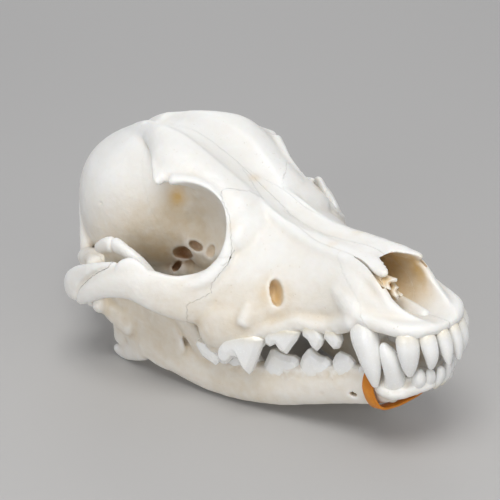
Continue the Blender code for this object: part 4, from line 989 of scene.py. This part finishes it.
# The lower jaw: two halves that meet at the chin, each with a body for the teeth, a thin
# upright branch and a hinge that sits in its socket below the arch.
LOWER_SOCKETS = [
    ((88, 20, -14), (12, 5, 3.4)), ((106, 17, -14.6), (12, 5, 3.2)), ((122, 13.6, -13), (12, 5, 3)),
    ((150, 9, -14.6), (9, 9, 3)),
]
JAW_JOIN = 1.2
JAW_EDGE = 0.4
HALF_GAP = 0.1
jaws = {}
for side_name, side in SIDES.items():
    forms = [
        sweep("body", [
            (157, 2.4, -13.6, 2.4, 1.8), (152.4, 4.3, -14.8, 3.6, 3), (147, 7.2, -15.9, 4.7, 4.7),
            (138, 9, -17.2, 4.4, 6), (126, 11.2, -18.6, 4, 6.1), (112, 14, -20, 4.2, 6.6),
            (98, 17.2, -20.9, 4.4, 7), (84, 20.6, -19.8, 4.3, 7.4), (70, 24, -16.2, 3.9, 7.8),
            (58, 26.8, -11.8, 3.4, 7), (46, 28.4, -9, 3, 6.6),
        ], side, count=40, round_=36),
        sweep("gum_edge", [
            (157.4, 2, -15.4, 2.2, 1.9), (153.4, 6.2, -16.1, 2.8, 2.1), (147.6, 10, -16.9, 4.4, 2.7),
            (140, 10, -14.6, 3, 2.4), (133.6, 10.6, -12.6, 2.2, 1.9), (124, 12.4, -13.6, 2.3, 1.9),
            (111.4, 15, -14.6, 2.5, 2), (97.6, 18, -15.4, 2.8, 2.2), (82, 20.6, -13.8, 2.8, 2.2),
            (72, 23.4, -10.6, 2.4, 2.4),
        ], side, count=34),
        sweep("chin", [
            (157.4, 1.4, -13.8, 2, 1.5), (153, 2.4, -14.9, 3.8, 2.9), (147, 3, -16.6, 4.6, 4.1),
            (140, 3.4, -19.4, 4.8, 4.7), (133, 4.4, -21, 4.4, 3.6),
        ], side),
        sweep("branch", [
            (46, 28, -14.4, 2.8, 11.5), (50, 28.6, -6, 2.4, 18.6), (53, 30.4, 3, 2, 18),
            (55, 33, 12, 1.8, 15), (56, 35.2, 21, 1.6, 12), (55.6, 36.8, 27.6, 1.4, 8),
        ], side, up=(1, 0, 0), count=30, round_=32),
        sweep("branch_edge", [
            (75, 23.8, -13, 2.4, 4), (74, 26.2, -5, 2.3, 4), (72, 29.4, 5, 2.2, 3.4),
            (69.6, 33, 15, 2, 2.8), (67, 36, 23.4, 1.9, 2.6), (63, 37.4, 27.6, 1.8, 2.6),
            (57, 37.8, 29.8, 1.9, 2.8), (51, 37.8, 29, 1.8, 2.6), (45.4, 37.6, 26.8, 1.4, 1.8),
        ], side, up=(1, 0, 0), count=40),
        sweep("hinge_neck", [(47, 30.4, -4, 3, 5), (40, 31.6, 0, 2.6, 4.4), (34, 32, 3, 3, 3.4)], side),
        sweep("hinge", [
            (32.5, 24, 2.6, 2.2, 2.2), (33.5, 30, 3.2, 3.3, 3.3), (35, 37.4, 4.8, 2.3, 2.3),
        ], side),
        sweep("rear_edge", [
            (36, 29.8, 1, 1.8, 3.6), (34.6, 28.6, -7, 1.8, 4), (32.4, 28.2, -13.4, 1.6, 4),
        ], side, up=(1, 0, 0)),
        sweep("rear_hook", [
            (46, 28.4, -12, 2.6, 5), (38, 28.2, -14.6, 2.3, 4), (31.6, 28, -16, 1.9, 2.8),
            (27, 28.2, -15, 1.3, 1.5),
        ], side),
    ]
    jaw = combine(forms[0], forms[1:], "UNION")
    combine(jaw, [
        swelling("muscle_hollow", (53, 36.4, 4), (13, 5, 15), side, pitch=-20),
        swelling("blade_hollow", (56, 41, 20), (11, 5, 7.6), side, pitch=-20),
        sweep("inner_canal", [(60, 20.5, 4, 2.4, 2), (66, 22.4, -4, 2, 1.6), (72, 21.6, -9, 1.4, 1.2)], side),
    ], "DIFFERENCE")
    grow(jaw, GRAIN, JAW_JOIN)
    combine(jaw, [
        sweep("chin_hole", [
            (133.5, 16, -19.6, 1.4, 0.8), (130.4, 9.9, -19.4, 1.3, 0.8), (126.4, 7.6, -19.2, 0.9, 0.6),
        ], side, count=8),
        sweep("chin_hole_2", [(121, 17, -20.4, 0.8, 0.5), (118, 12.6, -20.4, 0.7, 0.5)], side, count=8),
    ], "DIFFERENCE")
    grow(jaw, GRAIN, JAW_EDGE)
    roughen(jaw, LOWER_SOCKETS)
    deselect()
    bpy.ops.mesh.primitive_cube_add(
        size=1.0, location=(0.15, -side * 5 * MM + side * HALF_GAP * MM, -0.015), scale=(0.04, 0.01, 0.04))
    half = bpy.context.object
    bpy.ops.object.transform_apply(location=True, rotation=True, scale=True)
    combine(jaw, [half], "DIFFERENCE")
    jaws[side_name] = jaw


# The rubber band: a flat amber strap stretched round both halves of the jaw behind the
# lower canines, so that it pulls straight across every hollow.
BAND_PLACE = 140.6
BAND_WIDE = 4.4
BAND_THICK = 0.9
BAND_GAP = 0.4
BAND_STEPS = 120
outline = []
for jaw in jaws.values():
    for vertex in jaw.data.vertices:
        x, y, z = vertex.co / MM
        if abs(x - BAND_PLACE) < BAND_WIDE / 2 + 0.7:
            outline.append((y, z))
for side_name, jaw in jaws.items():
    finish(jaw, "mandible_" + side_name, bone, "bone", "lower_jaw_" + side_name)

hull = np.array([outline[k] for k in convex_hull_2d(outline)])
closed = np.vstack([hull, hull[:1]])
reach = np.concatenate([[0], np.cumsum(np.linalg.norm(np.diff(closed, axis=0), axis=1))])
spots = np.linspace(0, reach[-1], BAND_STEPS, endpoint=False)
loop = np.column_stack([np.interp(spots, reach, closed[:, k]) for k in range(2)])
for _ in range(6):
    loop = (np.roll(loop, 1, axis=0) + 2 * loop + np.roll(loop, -1, axis=0)) / 4
onward = np.roll(loop, -1, axis=0) - np.roll(loop, 1, axis=0)
outward = np.column_stack([onward[:, 1], -onward[:, 0]]) / np.linalg.norm(onward, axis=1)[:, None]
section = [(-0.5, 0.15), (-0.4, 0), (0.4, 0), (0.5, 0.15), (0.5, 0.75), (0.4, 1), (-0.4, 1), (-0.5, 0.75)]
corners = []
for (y, z), out in zip(loop, outward):
    for over, off in section:
        lift = BAND_GAP + off * BAND_THICK
        spot = (BAND_PLACE + over * BAND_WIDE, y + out[0] * lift, z + out[1] * lift)
        corners.append([value * MM for value in spot])
faces = []
for ring in range(len(loop)):
    after = (ring + 1) % len(loop)
    for k in range(8):
        j = (k + 1) % 8
        faces.append((ring * 8 + k, ring * 8 + j, after * 8 + j, after * 8 + k))
band = closed_mesh("band", corners, faces)


def rubber_material():
    """Amber rubber that lets a little light through, cloudy in tone, with a fine uneven roughness."""
    material, tree, shader = new_material("amber_rubber")
    clouds = grain(tree, 160.0, 4.0)
    fine = grain(tree, 1300.0, 4.0)
    colour = blend(tree, stretch(tree, clouds, 0.3, 0.75), (0.74, 0.27, 0.012), (0.5, 0.15, 0.006))
    rough = stretch(tree, fine, 0.3, 0.7, 0.34, 0.55)
    dress(tree, shader, colour, rough, (0.35, 0.0001, fine), (0.2, (1.0, 0.3, 0.05), 0.0015))
    return material


finish(band, "rubber_band", rubber_material(), "rubber", "elastic_band")


# The lower teeth, of the same enamel and the same two kinds, each sunk by its root in its half
# of the lower jaw. They stand up between the upper ones and just inside them.
LOWER_PEGS = {
    "incisor_1": (90, [
        (155.4, 1.3, -18, 1, 1.2), (158.4, 1.4, -14.8, 1.2, 1.5), (159.6, 1.4, -12, 1.35, 1.3),
        (160, 1.4, -10.2, 0.9, 0.8),
    ]),
    "incisor_2": (108, [
        (153.6, 3.6, -18, 1.3, 1.3), (156.6, 3.9, -14.8, 1.5, 1.6), (157.8, 4.1, -12, 1.7, 1.4),
        (158.2, 4.1, -10.3, 1, 0.9),
    ]),
    "incisor_3": (128, [
        (151, 5.8, -18.6, 1.6, 1.5), (153.8, 6.3, -15.2, 2.1, 2), (155.4, 6.6, -12.4, 2.5, 2),
        (156.4, 6.6, -9.8, 1.1, 1.1),
    ]),
    "canine": (160, [
        (143, 8.4, -20.6, 2.2, 2.4), (147.6, 9.9, -15.4, 3, 3.3), (149.6, 10.9, -11.5, 2.9, 3.1),
        (150.3, 11.7, -8, 2.9, 3), (150.6, 12.5, -4.6, 2.6, 2.8), (150.1, 13.2, -1.6, 1.8, 1.9),
        (149.8, 13.6, 0.5, 0.8, 0.8),
    ]),
}
LOWER_BLADES = {
    "premolar_1": [((135.6, 11, -13), -12, 1.5, [
        (-2, -3), (-1.9, 0.8), (-0.4, 2.6), (0.8, 2.2), (2, 0.6), (1.8, -3),
    ])],
    "premolar_2": [((127.2, 12, -12.8), -14, 1.9, [
        (-2.8, -3), (-2.6, 3), (-1, 5.2), (0.7, 6.4), (2.5, 5.8), (4.2, 5.1), (5.7, 3.2), (5.8, 1),
        (5.2, -3),
    ])],
    "premolar_3": [((116.4, 14.2, -14), -16, 2.2, [
        (-4.2, -3), (-4.4, 2.4), (-3, 5), (-0.6, 7.4), (0.6, 7.9), (1.9, 6.7), (3.4, 5.4), (5.9, 4.9),
        (7.4, 3.6), (7.5, 1.6), (6.8, -3),
    ])],
    "premolar_4": [((103, 17, -15.4), -18, 2.5, [
        (-5.5, -3), (-5.3, 2.4), (-3.5, 5), (-1.7, 7.7), (0, 7.9), (1.6, 6.8), (3.9, 6), (6.8, 5.7),
        (8.4, 4.6), (8.5, 2), (7.6, -3),
    ])],
    "carnassial": [((87.6, 19.4, -15), -18, 3, [
        (-9, -3), (-9, 1), (-7, 3.4), (-5, 3.2), (-3.4, 6.4), (-1, 8.2), (1, 5.8), (2.6, 6), (4.4, 6.8),
        (7, 4), (8.6, 0), (8, -3),
    ])],
    "molar_2": [((75.4, 22.4, -12.4), -20, 2.6, [
        (-3.4, -3), (-3.4, 2), (-1.6, 3.2), (0, 2.4), (1.6, 3.6), (3.2, 1.6), (3.2, -3),
    ])],
    "molar_3": [((69.6, 24.4, -9.4), -20, 1.6, [(-1.7, -3), (-1.6, 1.2), (0, 2.2), (1.6, 1), (1.6, -3)])],
}
teeth("lower", LOWER_PEGS, LOWER_BLADES, -1)


# The room: a plain pale floor, soft light from above and from either side, and the camera at
# the height and turn of the photograph.
deselect()
bpy.ops.mesh.primitive_plane_add(size=4.0, location=(0, 0, 0))
floor = bpy.context.object
floor.name = "floor"
floor_paint, tree, shader = new_material("floor_paint")
shader.inputs["Base Color"].default_value = (0.5, 0.49, 0.475, 1)
shader.inputs["Roughness"].default_value = 0.9
floor.data.materials.append(floor_paint)

world = bpy.data.worlds.new("studio")
bpy.context.scene.world = world
world.use_nodes = True
sky = world.node_tree.nodes["Background"]
sky.inputs["Color"].default_value = (0.9, 0.93, 1.0, 1)
sky.inputs["Strength"].default_value = 0.42


def soft_light(name, place, aim, size, power, colour=(1, 1, 1)):
    """A square soft box turned towards a point."""
    lamp = bpy.data.lights.new(name, "AREA")
    lamp.shape = "SQUARE"
    lamp.size = size
    lamp.energy = power
    lamp.color = colour
    box = bpy.data.objects.new(name, lamp)
    bpy.context.scene.collection.objects.link(box)
    box.location = place
    box.rotation_euler = (Vector(place) - Vector(aim)).to_track_quat("Z", "Y").to_euler()


soft_light("key_light", (0.3, -0.25, 0.8), (0.02, 0, 0.04), 0.4, 3.7, (1.0, 0.99, 0.975))
soft_light("side_light", (0.3, -0.95, 0.35), (0, 0, 0.04), 0.6, 2.6, (0.99, 0.99, 1.0))
soft_light("front_light", (0.85, -0.1, 0.45), (0.06, 0, 0.04), 0.5, 0.9, (1.0, 0.99, 0.98))
soft_light("far_light", (-0.7, 0.6, 0.5), (0, 0, 0.04), 0.6, 1.7, (1.0, 0.99, 0.97))
bpy.context.scene.view_settings.view_transform = "Standard"

turn, lift, roll = math.radians(52.51), math.radians(17.01), math.radians(-11.6)
CAMERA_AIM = Vector((80, 0, 15))
CAMERA_AWAY = 521.05
CAMERA_SIDE = -1.55
CAMERA_RISE = 1.96
PICTURE_WIDE = 500
FOCAL_LENGTH = 1570.93
back = Vector((math.sin(turn) * math.cos(lift), -math.cos(turn) * math.cos(lift), math.sin(lift)))
level = Vector((math.cos(turn), math.sin(turn), 0.0))
raised = back.cross(level)
to_right = math.cos(roll) * level + math.sin(roll) * raised
to_top = -math.sin(roll) * level + math.cos(roll) * raised
eye = (CAMERA_AIM + back * CAMERA_AWAY + to_right * CAMERA_SIDE + to_top * CAMERA_RISE) * MM
lens = bpy.data.cameras.new("camera")
lens.sensor_width = 36.0
lens.lens = FOCAL_LENGTH / PICTURE_WIDE * lens.sensor_width
lens.clip_start = 0.01
camera = bpy.data.objects.new("camera", lens)
bpy.context.scene.collection.objects.link(camera)
camera.matrix_world = STAND @ Matrix((
    (to_right.x, to_top.x, back.x, eye.x), (to_right.y, to_top.y, back.y, eye.y),
    (to_right.z, to_top.z, back.z, eye.z), (0, 0, 0, 1)))
bpy.context.scene.camera = camera
